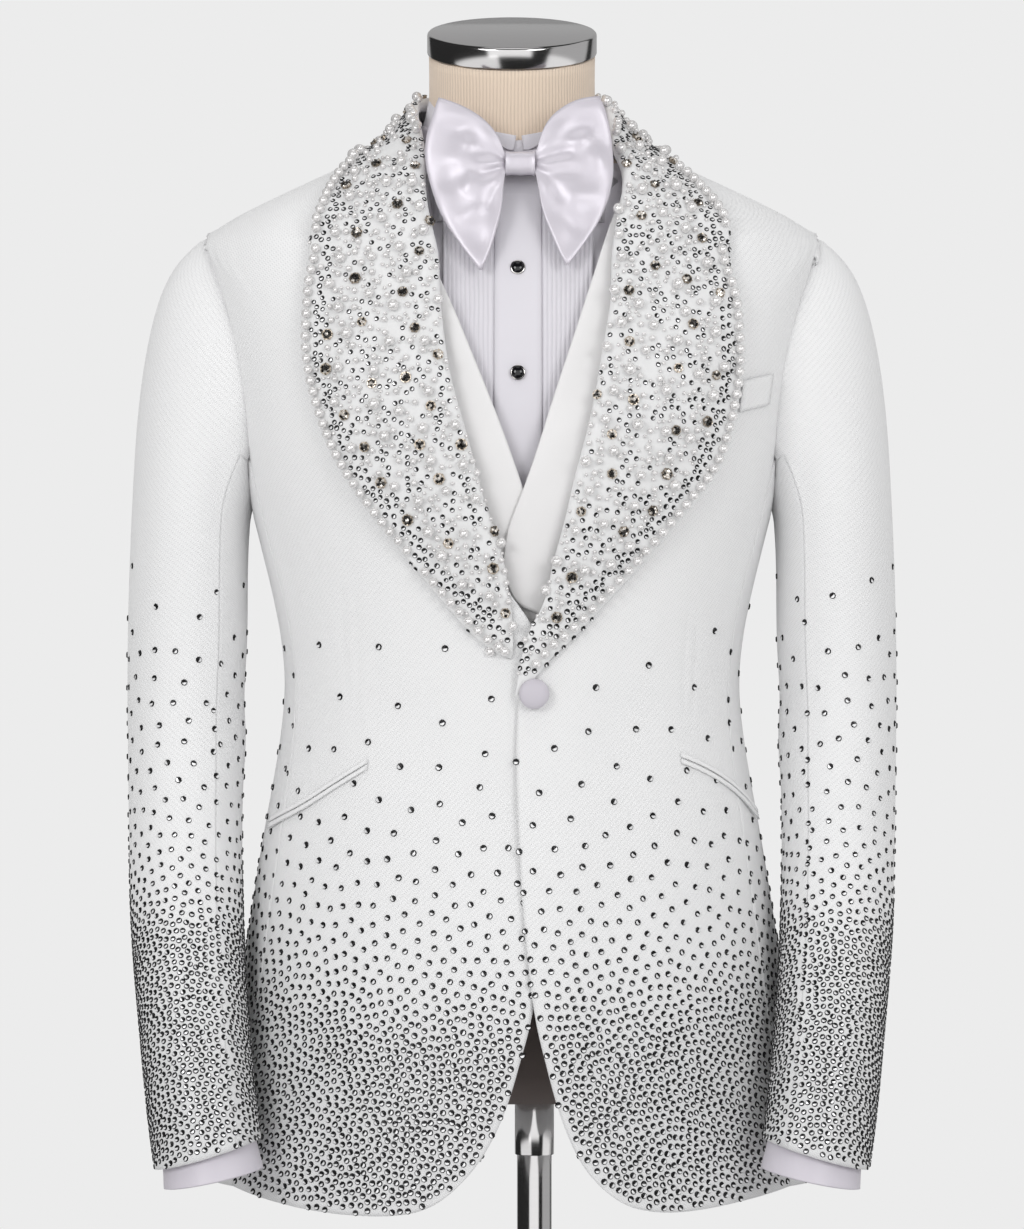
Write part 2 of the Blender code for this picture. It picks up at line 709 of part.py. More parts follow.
def sleeves(side, word):
    parts = (JACKET_ARMHOLE_FRONT, JACKET_ARMHOLE_LOW, JACKET_ARMHOLE_BACK)
    around = 20
    loop = armhole_loop(JACKET, parts, side, around, 1.2, 1.2)
    rows = []
    for low, high in zip(SLEEVE, SLEEVE[1:]):
        rows.append(low)
        if 1020 > low[1] > 960:
            rows.append(tuple((a + b) / 2 for a, b in zip(low, high)))
    rows.append(SLEEVE[-1])
    outer = sleeve_points(side, loop, 0.0, rows, 4)
    elbow_folds(outer)
    inner = inward(outer, JACKET_CLOTH)
    for piece, first, last in (("under", 7, 13), ("upper", 13, 27)):
        skins = []
        for grid in (outer, inner):
            skins.append([[row[k % around] for k in range(first, last + 1)] for row in grid])
        for grid in skins:
            for row in grid:
                row[0] = row[0] + (row[1] - row[0]).normalized() * SEAM
                row[-1] = row[-1] + (row[-2] - row[-1]).normalized() * SEAM
        wall("jacket_sleeve_" + piece + "_" + word, *skins, "jacket")


def jets(side, word, line):
    """The two jets of a hip pocket, each a narrow wall lying on the jacket."""
    places = [(turn_of(JACKET, x, z), z) for x, z in line]
    run = [unplan(p) for p in walk(spline([plan(*p) for p in places]), 6)]
    for name, low, high in (("upper", 0.4, 4.0), ("lower", -4.0, -0.4)):
        grid = [[(turn, z + drop) for turn, z in run] for drop in (low, high)]
        panel("hip_jet_" + name + "_" + word, JACKET, grid, "jacket", 1.3, out=2.3)


def breast_welt():
    """A slanting welt on the wearer's left chest."""
    grid = []
    for drop in (0.0, 11.0, 22.0):
        grid.append([
            (turn_of(JACKET, 157.5 + 21 * t, 1205), 1203 + drop + 6 * t) for t in (0, 0.5, 1.0)
        ])
    panel("breast_welt", JACKET, grid, "jacket", 1.3, out=2.3)


# ---------------------------------------------------------------- waistcoat and shirt
def body_armhole(line, side, room, seam):
    """An armhole of the padded body made larger by a factor, its ends on the seam's turn."""
    found = [((90 + (turn - 90) * room) * side, 1236 + (z - 1236) * (0.66 + 0.34 * room)) for turn, z in line]
    for end in (0, -1):
        found[end] = (seam * side, found[end][1])
    return found


def body_half(name, side, edge, rows, hem_z, cloth, out, tint, neck_z, grid, room=1.0, lift=None):
    """Front of a garment on the padded body: edge line, hem, side, armhole and shoulder."""
    across, up_side, up_arm, up_shoulder = grid
    arm = body_armhole(BODY_ARMHOLE_FRONT, side, room, 89.6)[::-1]
    side_line = [(89.6 * side, z) for z in (hem_z, (hem_z + arm[0][1]) / 2, arm[0][1])]
    top = [(89.6 * side, z) for z in (arm[-1][1], 1345, neck_z)]
    split = [p for p in edge if p[1] > neck_z - 40]
    lower = [p for p in edge if p[1] <= neck_z - 40] + split[:1]
    hem = [(edge[0][0] + (89.6 * side - edge[0][0]) * k / 4, edge[0][1] + (hem_z - edge[0][1]) * k / 4)
           for k in range(5)]
    places = patch(
        chain([(lower, up_side + up_arm + up_shoulder)]),
        chain([(side_line, up_side), (arm, up_arm), (top, up_shoulder)]),
        chain([(hem, across)]),
        chain([(split + [(89.6 * side, neck_z)], across)]),
    )
    return panel(name, rows, places, tint, cloth, out=out, lift=lift)


def body_back(name, side, rows, hem_z, cloth, out, tint, neck_z, grid, room=1.0):
    """Back half of a garment on the padded body."""
    across, up_side, up_arm, up_shoulder = grid
    arm = body_armhole(BODY_ARMHOLE_BACK, side, room, 90.4)
    side_line = [(90.4 * side, z) for z in (hem_z, (hem_z + arm[0][1]) / 2, arm[0][1])]
    top = [(90.4 * side, z) for z in (arm[-1][1], 1345, neck_z)]
    centre = [(179.9 * side, z) for z in (hem_z, 960, 1160, neck_z)]
    hem = [(90.4 * side, hem_z), (135 * side, hem_z), (179.9 * side, hem_z)]
    neck = [(90.4 * side, neck_z), (135 * side, neck_z), (179.9 * side, neck_z)]
    places = patch(
        chain([(side_line, up_side), (arm, up_arm), (top, up_shoulder)]),
        chain([(centre, up_side + up_arm + up_shoulder)]),
        chain([(hem, across)]),
        chain([(neck, across)]),
    )
    return panel(name, rows, places, tint, cloth, out=out)


def waistcoat():
    def over(turn, height):
        x = spot(FORM, turn, height).x
        return 3.5 * smooth((90 - x) / 38) * smooth((1205 - height) / 60)

    v_left = [(turn_of(FORM, x + 9, z), z) for x, z in WAISTCOAT_V_LEFT[1:]]
    v_right = [(turn_of(FORM, x - 9, z), z) for x, z in WAISTCOAT_V_RIGHT[1:]]
    left = [(turn_of(FORM, 0, z), z) for z in (835, 950, 1060)] + v_left
    right = [(turn_of(FORM, 22, z), z) for z in (835, 950, 1060)] + v_right
    grid = (7, 4, 4, 2)
    front = (FORM, 850, WAISTCOAT_CLOTH, 11.8, "waistcoat", 1368, grid, 1.3)
    body_half("waistcoat_front_left", 1, left, *front, over)
    body_half("waistcoat_front_right", -1, right, *front)
    back = (FORM, 850, WAISTCOAT_CLOTH, 11.1, "waistcoat", 1368, (6, 4, 3, 2), 1.3)
    for side, word in ((1, "left"), (-1, "right")):
        body_back("waistcoat_back_" + word, side, *back)
    # The crossing lapels: the wearer's left one lies on top.
    lap = 46.0
    for word, side, line, foot in (
        ("left", 1, WAISTCOAT_V_LEFT, ((2, 1072), (-6, 1092))),
        ("right", -1, WAISTCOAT_V_RIGHT, ((24, 1078), (22, 1095))),
    ):
        def rise(turn, height, side=side):
            cross = smooth((1225 - height) / 70)
            return (6.2 if side > 0 else 3.4) * cross

        inner_line = [(turn_of(FORM, x, z), z) for x, z in foot + line]
        outer_line = []
        for k, (x, z) in enumerate(foot + line):
            share = smooth(k / 6)
            wide = 30 + (lap - 30) * share - 30 * smooth((z - 1290) / 60)
            outer_line.append((turn_of(FORM, x + side * wide, z - 14 * (1 - share)), z - 14 * (1 - share)))
        count = 13
        a, b = chain([(inner_line, count)]), chain([(outer_line, count)])
        places = []
        for k in range(5):
            places.append([
                unplan(tuple(p + (q - p) * k / 4 for p, q in zip(a[j], b[j]))) for j in range(count + 1)
            ])
        panel("waistcoat_lapel_" + word, FORM, places, "waistcoat", WAISTCOAT_CLOTH, out=14.4, lift=rise)


def shirt():
    neck = ((6, 1362), (22, 1364), (45, 1369), (70, 1374))
    for side, word in ((1, "left"), (-1, "right")):
        first = turn_of(FORM, 4.6 if side > 0 else 3.4, 1150)
        edge = [(first, z) for z in (812, 900, 1000, 1100, 1200, 1300, 1345)]
        edge += [(turn * side, z) for turn, z in neck]
        body_half("shirt_front_" + word, side, edge, FORM, 812, SHIRT_CLOTH, 3.0, "shirt", 1380, (7, 4, 4, 2))
        body_back("shirt_back_" + word, side, FORM, 812, SHIRT_CLOTH, 3.0, "shirt", 1380, (6, 4, 3, 2))
        # Pintucked bib: each tuck is a ridge and a hollow, three millimetres apart.
        tucks = 11
        columns = []
        for k in range(2 * tucks + 1):
            columns.append(21.0 + 1.6 * k if side > 0 else -12.6 - 1.6 * k)
        outer, inner = [], []
        for z in (1072, 1150, 1225, 1295, 1350):
            ridge = [6.0 + (0.8 if k % 2 else 0.0) for k in range(2 * tucks + 1)]
            outer.append([on(FORM, turn_of(FORM, x, z), z, r) for x, r in zip(columns, ridge)])
            inner.append([on(FORM, turn_of(FORM, x, z), z, 5.0) for x in columns])
        wall("shirt_bib_" + word, outer, inner, "shirt")
        shirt_sleeve(side, word)
    grid = [[(turn_of(FORM, x, z), z) for x in (-11.8, 4, 20.1)] for z in
            (815, 880, 950, 1020, 1090, 1150, 1210, 1270, 1320, 1356)]
    panel("shirt_placket", FORM, grid, "shirt", SHIRT_CLOTH, out=6.8)
    # Collar stand round the neck, dipping at the front.
    outer, inner = [], []
    around = 26
    for share in (0.0, 1.0):
        rows = ([], [])
        for k in range(around):
            turn = 360 * k / around
            front = 0.5 + 0.5 * math.cos(math.radians(turn))
            low = 1393 - 27 * front**8
            high = 1421 - 26 * front**3
            height = low + (high - low) * share
            for row, out in zip(rows, (2.3, 1.2)):
                row.append(on(FORM, turn, height, out))
        outer.append(rows[0])
        inner.append(rows[1])
    wall("shirt_collar_stand", outer, inner, "shirt", loop=True)
    for side, word in ((1, "left"), (-1, "right")):
        grid = []
        for v in (0.0, 0.34, 0.67, 1.0):
            line = []
            for u in (0.0, 0.3, 0.6, 1.0):
                near, far = 4.6 + side * (1.6 + 1.5 * v), 4.6 + side * (4.5 + 27 * (1 - v) + 3 * v)
                x = near + (far - near) * u
                z = 1398.5 + 6 * u * (1 - v) - 11 * v
                line.append((turn_of(FORM, x, z), z))
            grid.append(line)
        panel("shirt_wing_" + word, FORM, grid, "shirt", SHIRT_CLOTH, out=4.6)


def shirt_sleeve(side, word):
    """Sleeve hanging inside the jacket's, and the cuff that shows below it."""
    loop = armhole_loop(FORM, (BODY_ARMHOLE_FRONT, BODY_ARMHOLE_BACK), side, 11, 2.2, 7.5)
    rows = ((258, 1196, 212, 1158, 0, 56),) + SLEEVE[1:-1:2] + SLEEVE[-2:-1]
    outer = sleeve_points(side, loop, 8.0, rows, 3)
    wall("shirt_sleeve_" + word, outer, inward(outer, SHIRT_CLOTH), "shirt", loop=True)
    around = 16
    rows = (
        (250.5, 699, 177.0, 718, -106, 40),
        (247.2, 683, 174.6, 702, -113, 41),
        (244.8, 671, 171.5, 686, -117.5, 41.5),
        (244.0, 664, 170.0, 679, -119.5, 42),
    )
    shrinks = (4.4, 3.4, 2.2, 1.4)
    grid = []
    for row, shrink in zip(rows, shrinks):
        out_x, out_z, in_x, in_z, mid_y, half = row
        line = []
        for k in range(around):
            a = 2 * math.pi * k / around
            share = 0.5 + 0.5 * math.cos(a)
            x = in_x + (out_x - in_x) * share - shrink * math.cos(a)
            z = in_z + (out_z - in_z) * share
            line.append(Vector((side * x, mid_y - (half - shrink) * math.sin(a), z)))
        grid.append(line)
    wall("shirt_cuff_" + word, grid, inward(grid, 1.3), "shirt", loop=True)


# ---------------------------------------------------------------- bow tie
def bow_lobe(word, side, top, end, low):
    """One wing of the bow: cloth that runs out, folds over at the end and comes back behind."""
    out_count, up_count = 6, 5
    border_low = [low[0]] + walk(spline(low[1:]), out_count - 1)
    border_top = [top[0]] + walk(spline(top[1:]), out_count - 1)
    border_end = walk(spline(end[::-1]), up_count)
    border_knot = walk((low[0], top[0]), up_count)
    front, back = [], []
    for j in range(up_count + 1):
        v = j / up_count
        for_front, for_back = [], []
        for i in range(out_count + 1):
            u = i / out_count
            x, z = (
                (1 - u) * border_knot[j][c] + u * border_end[j][c]
                + (1 - v) * border_low[i][c] + v * border_top[i][c]
                - (1 - u) * (1 - v) * border_knot[0][c] - u * (1 - v) * border_end[0][c]
                - (1 - u) * v * border_knot[-1][c] - u * v * border_end[-1][c]
                for c in (0, 1)
            )
            depth = 0.27 * (1378 - z) if z < 1378 else 0.10 * (1378 - z)
            plane = -86.5 - depth
            pleat = math.cos(v * math.pi * 4) * 1.7 * smooth(u / 0.15) * (1 - 0.75 * u)
            belly = 2.6 + 5.6 * math.sin(math.pi * min(u, 1.0) ** 0.8) * math.sin(math.pi * (0.1 + 0.8 * v))
            for_front.append(Vector((x, plane - belly - pleat, z)))
            for_back.append(Vector((x, plane + 2.2 + 0.8 * math.sin(math.pi * u), z)))
        front.append(for_front)
        back.append(for_back)
    outer, inner = [], []
    for j in range(up_count + 1):
        tip_front, tip_back = front[j][-1], back[j][-1]
        fold = (tip_front + tip_back) / 2 + Vector((side * 1.6, 0, 0))
        outer.append(front[j] + [fold] + back[j][::-1])
        thin = Vector((0, 1.3, 0))
        inside_front = [p + thin for p in front[j]]
        inside_back = [p - thin for p in back[j]]
        inside_front[-1] = inside_front[-1] - Vector((side * 0.9, 0, 0))
        inside_back[-1] = inside_back[-1] - Vector((side * 0.9, 0, 0))
        inner.append(inside_front + [fold - Vector((side * 1.3, 0, 0))] + inside_back[::-1])
    wall("bow_lobe_" + word, outer, inner, "satin")


def bow_tie():
    bow_lobe("right", -1, BOW_RIGHT_TOP, BOW_RIGHT_END, BOW_RIGHT_LOW)
    bow_lobe("left", 1, BOW_LEFT_TOP, BOW_LEFT_END, BOW_LEFT_LOW)
    # The knot wraps over the middle from front to back.
    around = 12
    outer, inner = [], []
    for k in range(5):
        across = -1 + 2 * k / 4
        x = KNOT_X + across * 10.2
        waist = 1.0 - 0.10 * (1 - across**2)
        rows = ([], [])
        for i in range(around):
            a = 2 * math.pi * i / around
            for row, deep, tall in ((rows[0], 9.6 * waist, 9.0 * waist), (rows[1], 8.3 * waist, 7.7 * waist)):
                y = -85.2 - deep * math.copysign(abs(math.cos(a)) ** 0.6, math.cos(a))
                y += 2.5 * max(-math.cos(a), 0.0) ** 0.6
                z = KNOT_Z + tall * math.copysign(abs(math.sin(a)) ** 0.6, math.sin(a))
                row.append(Vector((x, y, z)))
        outer.append(rows[0])
        inner.append(rows[1])
    wall("bow_knot", outer, inner, "satin", loop=True)
    around = 26
    outer, inner = [], []
    for share in (0.0, 1.0):
        rows = ([], [])
        for k in range(around):
            turn = 360 * k / around
            front = 0.5 + 0.5 * math.cos(math.radians(turn))
            height = 1397 - 25 * front**6 + 13 * share
            for row, out in zip(rows, (7.1 + 0.9 * front, 5.5 + 0.9 * front)):
                ease = min(height, 1404)
                row.append(on(FORM, turn, ease, out - max(0, (ease - 1390)) * 0.12) + Vector((0, 0, height - ease)))
        outer.append(rows[0])
        inner.append(rows[1])
    wall("bow_neck_band", outer, inner, "satin", loop=True)


# ---------------------------------------------------------------- dress form, stand and fastenings
def dress_form():
    around = 26
    work = bmesh.new()
    heights = (720, 800, 890, 960, 1030, 1090, 1150, 1220, 1280, 1318,
               1332, 1346, 1360, 1373, 1386, 1401, 1425)
    rings = []
    for height in heights:
        slim = 0.7 + 3.1 * smooth((1395 - height) / 40) + 5.0 * smooth(1 - abs(height - 1322) / 45)
        rings.append([work.verts.new(on(FORM, 360 * k / around, height, -slim)) for k in range(around)])
    slope = math.tan(math.radians(CAP_TILT))
    last = []
    for k in range(around):
        point = spot(FORM, 360 * k / around, 1440)
        point.z = 1462 + slope * point.y
        last.append(work.verts.new(point))
    rings.append(last)
    for low, high in zip(rings, rings[1:]):
        zip_rows(work, low + low[:1], high + high[:1])
    work.faces.new(rings[0])
    work.faces.new(last)
    finish("form_body", work, "jersey")
    lean = Matrix.Rotation(math.radians(CAP_TILT), 3, "X")
    turned("form_cap", ((0, 0), (NECK_R + 0.6, 0), (NECK_R + 0.6, 14), (NECK_R - 1.4, 16), (0, 16)),
           "steel", (0, 0, 1462.7), 28, lean)
    pole = (POLE_X, 0, 0)
    turned("stand_upper_tube", ((12.9, 676.3), (14, 676.3), (14, 719.6), (12.9, 719.6)), "steel", pole, 18)
    turned("stand_lower_tube", ((10.9, 36.4), (12.4, 36.4), (12.4, 712), (10.9, 712)), "steel", pole, 18)
    turned("stand_base", ((0, 0), (170, 0), (172, 2), (172, 6), (169, 8), (36, 11), (20, 20),
                          (20, 36), (0, 36)), "steel", pole, 28)


def disc(name, rows, x, z, out, profile, tint):
    """A turned button or stud lying on the cloth."""
    turn = turn_of(rows, x, z)
    base = on(rows, turn, z, out)
    normal = (on(rows, turn, z, out + 1) - base).normalized()
    lean = Vector((0, 0, 1)).rotation_difference(normal).to_matrix()
    turned(name, profile, tint, base, 12, lean)


def fastenings():
    disc("jacket_button", JACKET, 15, 1007, FRONT_LAP + 4.8,
         ((0, 0), (9.6, 0), (10.5, 1.2), (10.2, 3.0), (7.5, 4.6), (0, 5.4)), "satin")
    stud = ((0, 0), (5.2, 0), (5.7, 0.8), (5.4, 1.6), (4.2, 2.4), (2.2, 3.2), (0, 3.5))
    disc("shirt_stud_upper", FORM, 4, 1302, 6.4, stud, "stud")
    disc("shirt_stud_lower", FORM, 4, 1229, 6.0, stud, "stud")


# ---------------------------------------------------------------- build
dress_form()
shirt()
waistcoat()
bow_tie()
for side, word in ((1, "left"), (-1, "right")):
    jacket_side(side, word)
    jacket_back(side, word)
    sleeves(side, word)
jacket_front(1, "left", LEFT_EDGE, LEFT_HEM, COLLAR_LEFT, left_lift)
jacket_front(-1, "right", RIGHT_EDGE, RIGHT_HEM, COLLAR_RIGHT, level)
collar("shawl_collar_left", COLLAR_LEFT, 1, left_lift)
collar("shawl_collar_right", COLLAR_RIGHT, -1, level)
jets(-1, "right", ((-171, 914), (-148, 927), (-124, 943), (-100, 958)))
jets(1, "left", ((117, 962), (136, 953.5), (157, 939), (173, 920)))
breast_welt()
fastenings()
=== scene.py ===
"""White beaded shawl-collar tuxedo on a limbless dress form.

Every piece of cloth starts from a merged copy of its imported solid: the outer skin is smoothed,
given its seams and creases, and thickened to a real wall. Beads, pearls and stones are laid on
the finished cloth. Lengths are in metres, +Z is up and the front faces -Y.
"""

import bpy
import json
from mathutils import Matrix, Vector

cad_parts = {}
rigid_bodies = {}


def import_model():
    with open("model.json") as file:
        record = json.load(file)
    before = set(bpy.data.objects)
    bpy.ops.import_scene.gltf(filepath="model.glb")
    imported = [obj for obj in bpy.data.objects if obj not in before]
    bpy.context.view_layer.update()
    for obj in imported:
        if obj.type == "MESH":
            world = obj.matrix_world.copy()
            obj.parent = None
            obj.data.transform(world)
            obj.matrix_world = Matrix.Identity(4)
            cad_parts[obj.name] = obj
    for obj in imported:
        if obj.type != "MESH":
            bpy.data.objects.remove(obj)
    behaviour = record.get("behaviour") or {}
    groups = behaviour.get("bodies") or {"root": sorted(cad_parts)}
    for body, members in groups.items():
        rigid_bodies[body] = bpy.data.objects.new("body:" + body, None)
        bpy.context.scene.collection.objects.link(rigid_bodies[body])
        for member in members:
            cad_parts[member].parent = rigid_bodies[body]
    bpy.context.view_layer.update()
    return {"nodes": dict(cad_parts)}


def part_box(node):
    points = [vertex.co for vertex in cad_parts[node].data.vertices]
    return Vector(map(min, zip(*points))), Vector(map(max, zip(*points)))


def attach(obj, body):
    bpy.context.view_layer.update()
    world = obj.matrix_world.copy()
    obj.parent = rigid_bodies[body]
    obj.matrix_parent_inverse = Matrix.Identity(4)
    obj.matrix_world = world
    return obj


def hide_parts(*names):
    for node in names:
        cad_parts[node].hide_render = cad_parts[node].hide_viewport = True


bl_info = {
    "name": "White Beaded Tuxedo",
    "version": (1, 0, 0),
    "blender": (4, 5, 0),
    "location": "3D View > Sidebar > Tuxedo",
    "description": "Cloth, beads and stand of a shawl-collar tuxedo on a dress form",
    "category": "Object",
}

import json
import math
from functools import partial
from itertools import product

import bpy
import bmesh
import numpy as np
from bpy.props import FloatProperty, FloatVectorProperty, IntProperty, PointerProperty
from mathutils import Matrix, Vector
from mathutils.bvhtree import BVHTree
from mathutils.kdtree import KDTree

for spare in list(bpy.data.objects):
    bpy.data.objects.remove(spare, do_unlink=True)

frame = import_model()
NODES = frame["nodes"]
SIDES = (("left", 1), ("right", -1))

# How thick each cloth's wall is, as its solid has it.
JACKET_CLOTH, WAISTCOAT_CLOTH, SHIRT_CLOTH = 0.002, 0.0015, 0.0011
CUFF_CLOTH, POCKET_CLOTH, BOW_CLOTH, KNOT_CLOTH, BAND_CLOTH = 0.0013, 0.0013, 0.0011, 0.0012, 0.0015

POLE_X = 0.016         # the pole stands a little to the wearer's left
WAIST_EDGE = 0.91      # where the form's ribbed jersey gives way to its darker lower cloth
EDGE_REACH = 0.03      # how far in from an open edge its distance is kept
EDGE_CALM = 0.02       # creases fade within this distance of an edge
PAINTED_SEAM_SHADE = 0.93      # how dark the painted seam shade is at the cloth's own edge
SEAM_WIDTH = 0.0010    # how far in from its edge the painted seam shade reaches
SEAM_GROOVE = 0.0028   # how far in from its edge cloth is drawn in
STONE_SHADOW_HEIGHTS = 0.73, 0.84    # between these heights the jacket's cloth darkens towards its hem: painted shadow among the close stones


# ---------------------------------------------------------------- what a user would change
def colour(name, words, value):
    return FloatVectorProperty(name=name, description=words, subtype="COLOR", size=3,
                               min=0.0, max=1.0, default=value)


def length(name, words, value):
    return FloatProperty(name=name, description=words, subtype="DISTANCE", unit="LENGTH",
                         min=0.0, default=value, precision=5)


def number(name, words, value, least=0.0):
    return FloatProperty(name=name, description=words, min=least, default=value)


class TuxedoCloth(bpy.types.PropertyGroup):
    """Colours of the cloths, and the size of their weave."""

    jacket: colour("Jacket", "White diagonal-weave jacket cloth", (0.85, 0.85, 0.853))
    collar: colour("Collar", "Smooth white cloth under the beads", (0.80, 0.80, 0.802))
    waistcoat: colour("Waistcoat", "Smooth off-white waistcoat cloth", (0.81, 0.80, 0.80))
    shirt: colour("Shirt", "Fine white cotton", (0.735, 0.715, 0.76))
    satin: colour("Satin", "Lustrous white satin of the bow tie", (0.67, 0.635, 0.695))
    jersey: colour("Jersey", "Ribbed jersey over the form's neck", (0.79, 0.65, 0.52))
    lower_form: colour("Lower form", "Smooth cloth over the form's hips", (0.125, 0.10, 0.092))
    weave: length("Weave", "From one thread float to the next", 0.0021)
    rib: length("Rib", "From one rib of the jersey to the next", 0.0026)


class TuxedoStones(bpy.types.PropertyGroup):
    """Sizes and spacing of the stones, pearls and beads."""

    stone: length("Stone", "Radius of a large rhinestone", 0.0021)
    pearl: length("Pearl", "Radius of a border pearl", 0.0034)
    seed_bead: length("Seed bead", "Radius of a seed bead", 0.0015)
    crystal: length("Crystal", "Radius of a claw-set crystal", 0.0038)
    scatter: IntProperty(name="Scatter", description="Start of the random scatter", default=7, min=0)
    silver: colour("Silver", "Foiled rhinestones", (0.90, 0.90, 0.91))
    nacre: colour("Nacre", "Pearls", (0.86, 0.845, 0.84))
    antique: colour("Antique silver", "Claws of the set crystals", (0.50, 0.43, 0.35))


class TuxedoStage(bpy.types.PropertyGroup):
    """Backdrop, lights and camera."""

    backdrop: colour("Backdrop", "Pale floor and background", (0.839, 0.839, 0.839))
    key: number("Key", "Power of each front light in watts", 31.0)
    fill: number("Fill", "Strength of the light from all round", 0.61)
    lens: number("Lens", "Focal length in millimetres", 163.9, 1.0)
    distance: length("Distance", "From the camera to the form", 4.0)
    eye: length("Eye height", "Height of the camera", 1.062)


# ---------------------------------------------------------------- shader helpers
def join(tree, node, inputs):
    """Gives a node's inputs their values, or joins them to sockets."""
    for key, value in inputs.items():
        if isinstance(value, bpy.types.NodeSocket):
            tree.links.new(value, node.inputs[key])
        else:
            node.inputs[key].default_value = value
    return node


def put(tree, kind, inputs=None, **settings):
    """A shader node with its settings and its inputs."""
    made = tree.nodes.new("ShaderNode" + kind)
    for key, value in settings.items():
        setattr(made, key, value)
    return join(tree, made, inputs or {})


def maths(tree, operation, *values):
    return put(tree, "Math", dict(enumerate(values)), operation=operation).outputs[0]


def noise(tree, place, scale, detail):
    return put(tree, "TexNoise", {"Vector": place, "Scale": scale, "Detail": detail}).outputs[0]


def axes_of(tree, place):
    return put(tree, "SeparateXYZ", {0: place}).outputs


def object_place(tree):
    return put(tree, "TexCoord").outputs["Object"]


def soft_range(tree, value, low, high, start=0.0, end=1.0):
    """Runs softly from start to end while a value runs from low to high."""
    return put(tree, "MapRange", {0: value, 1: low, 2: high, 3: start, 4: end},
               interpolation_type="SMOOTHSTEP").outputs[0]


def weave_pattern(tree, place, pitch):
    """Diagonal birdseye weave: rows of short floats that cross on the slant."""
    across, up = axes_of(tree, place)[:2]
    turn = maths(tree, "DIVIDE", 2 * math.pi, pitch)
    rise, fall = maths(tree, "ADD", across, up), maths(tree, "SUBTRACT", across, up)
    shift = maths(tree, "MULTIPLY", noise(tree, place, 55.0, 2.0), 1.6)
    one = maths(tree, "SINE", maths(tree, "MULTIPLY_ADD", rise, turn, shift))
    two = maths(tree, "SINE", maths(tree, "MULTIPLY", maths(tree, "MULTIPLY", fall, turn), 0.5))
    rows = maths(tree, "MULTIPLY_ADD", one, 0.2, 0.5)
    height = maths(tree, "MULTIPLY_ADD", maths(tree, "MULTIPLY", one, two), 0.32, rows)
    shade = maths(tree, "MULTIPLY_ADD", height, 0.38, 0.745)
    return height, maths(tree, "MULTIPLY_ADD", noise(tree, place, 14.0, 4.0), 0.02, shade)


def rib_pattern(tree, place, pitch):
    """Upright ribs, as of a knit or of pressed tucks, with painted shade in the valleys between them."""
    along = maths(tree, "DIVIDE", axes_of(tree, place)[0], pitch)
    along = maths(tree, "MULTIPLY_ADD", noise(tree, place, 30.0, 2.0), 0.5, along)
    wave = maths(tree, "SINE", maths(tree, "MULTIPLY", along, math.pi))
    height = maths(tree, "POWER", maths(tree, "ABSOLUTE", wave), 0.6)
    return height, maths(tree, "MULTIPLY_ADD", height, 0.26, 0.74)


def fine_pattern(tree, place, pitch):
    """Fine plain cloth: small crossed threads and a slow change of tone."""
    turn = maths(tree, "DIVIDE", 2 * math.pi, pitch)
    one, two = (maths(tree, "SINE", maths(tree, "MULTIPLY", axis, turn))
                for axis in axes_of(tree, place)[:2])
    slow = noise(tree, place, 22.0, 5.0)
    threads = maths(tree, "MULTIPLY_ADD", maths(tree, "MULTIPLY", one, two), 0.25, 0.5)
    height = maths(tree, "MULTIPLY_ADD", slow, 0.6, threads)
    return height, maths(tree, "MULTIPLY_ADD", slow, 0.08, 0.93)


PATTERNS = {"Diagonal weave": weave_pattern, "Ribs": rib_pattern, "Fine cloth": fine_pattern}


def patterned(tree, name, place, pitch):
    """A pattern's height and shade at a piece's flat places, from the pattern's node group."""
    inner = bpy.data.node_groups.get(name)
    if inner is None:
        inner = bpy.data.node_groups.new(name, "ShaderNodeTree")
        for label, kind, way in (("Place", "Vector", "INPUT"), ("Pitch", "Float", "INPUT"),
                                 ("Height", "Float", "OUTPUT"), ("Shade", "Float", "OUTPUT")):
            inner.interface.new_socket(label, in_out=way, socket_type="NodeSocket" + kind)
        enter = inner.nodes.new("NodeGroupInput").outputs
        height, shade = PATTERNS[name](inner, enter["Place"], enter["Pitch"])
        join(inner, inner.nodes.new("NodeGroupOutput"), {"Height": height, "Shade": shade})
    return put(tree, "Group", {"Place": place, "Pitch": pitch}, node_tree=inner).outputs


def finish_of(name):
    """A material by name, with its tree and its Principled shader where it is new."""
    made = bpy.data.materials.get(name)
    if made:
        return made, None, None
    made = bpy.data.materials.new(name)
    made.use_nodes = True
    return made, made.node_tree, made.node_tree.nodes["Principled BSDF"]


def tinted(tree, shade, base, low=0.35):
    """A colour darkened by a shade that changes over the surface."""
    dark = (base[0] * low, base[1] * low, base[2] * low * 1.05, 1.0)
    return put(tree, "Mix", {0: shade, 6: dark, 7: (*base, 1.0)}, data_type="RGBA").outputs[2]


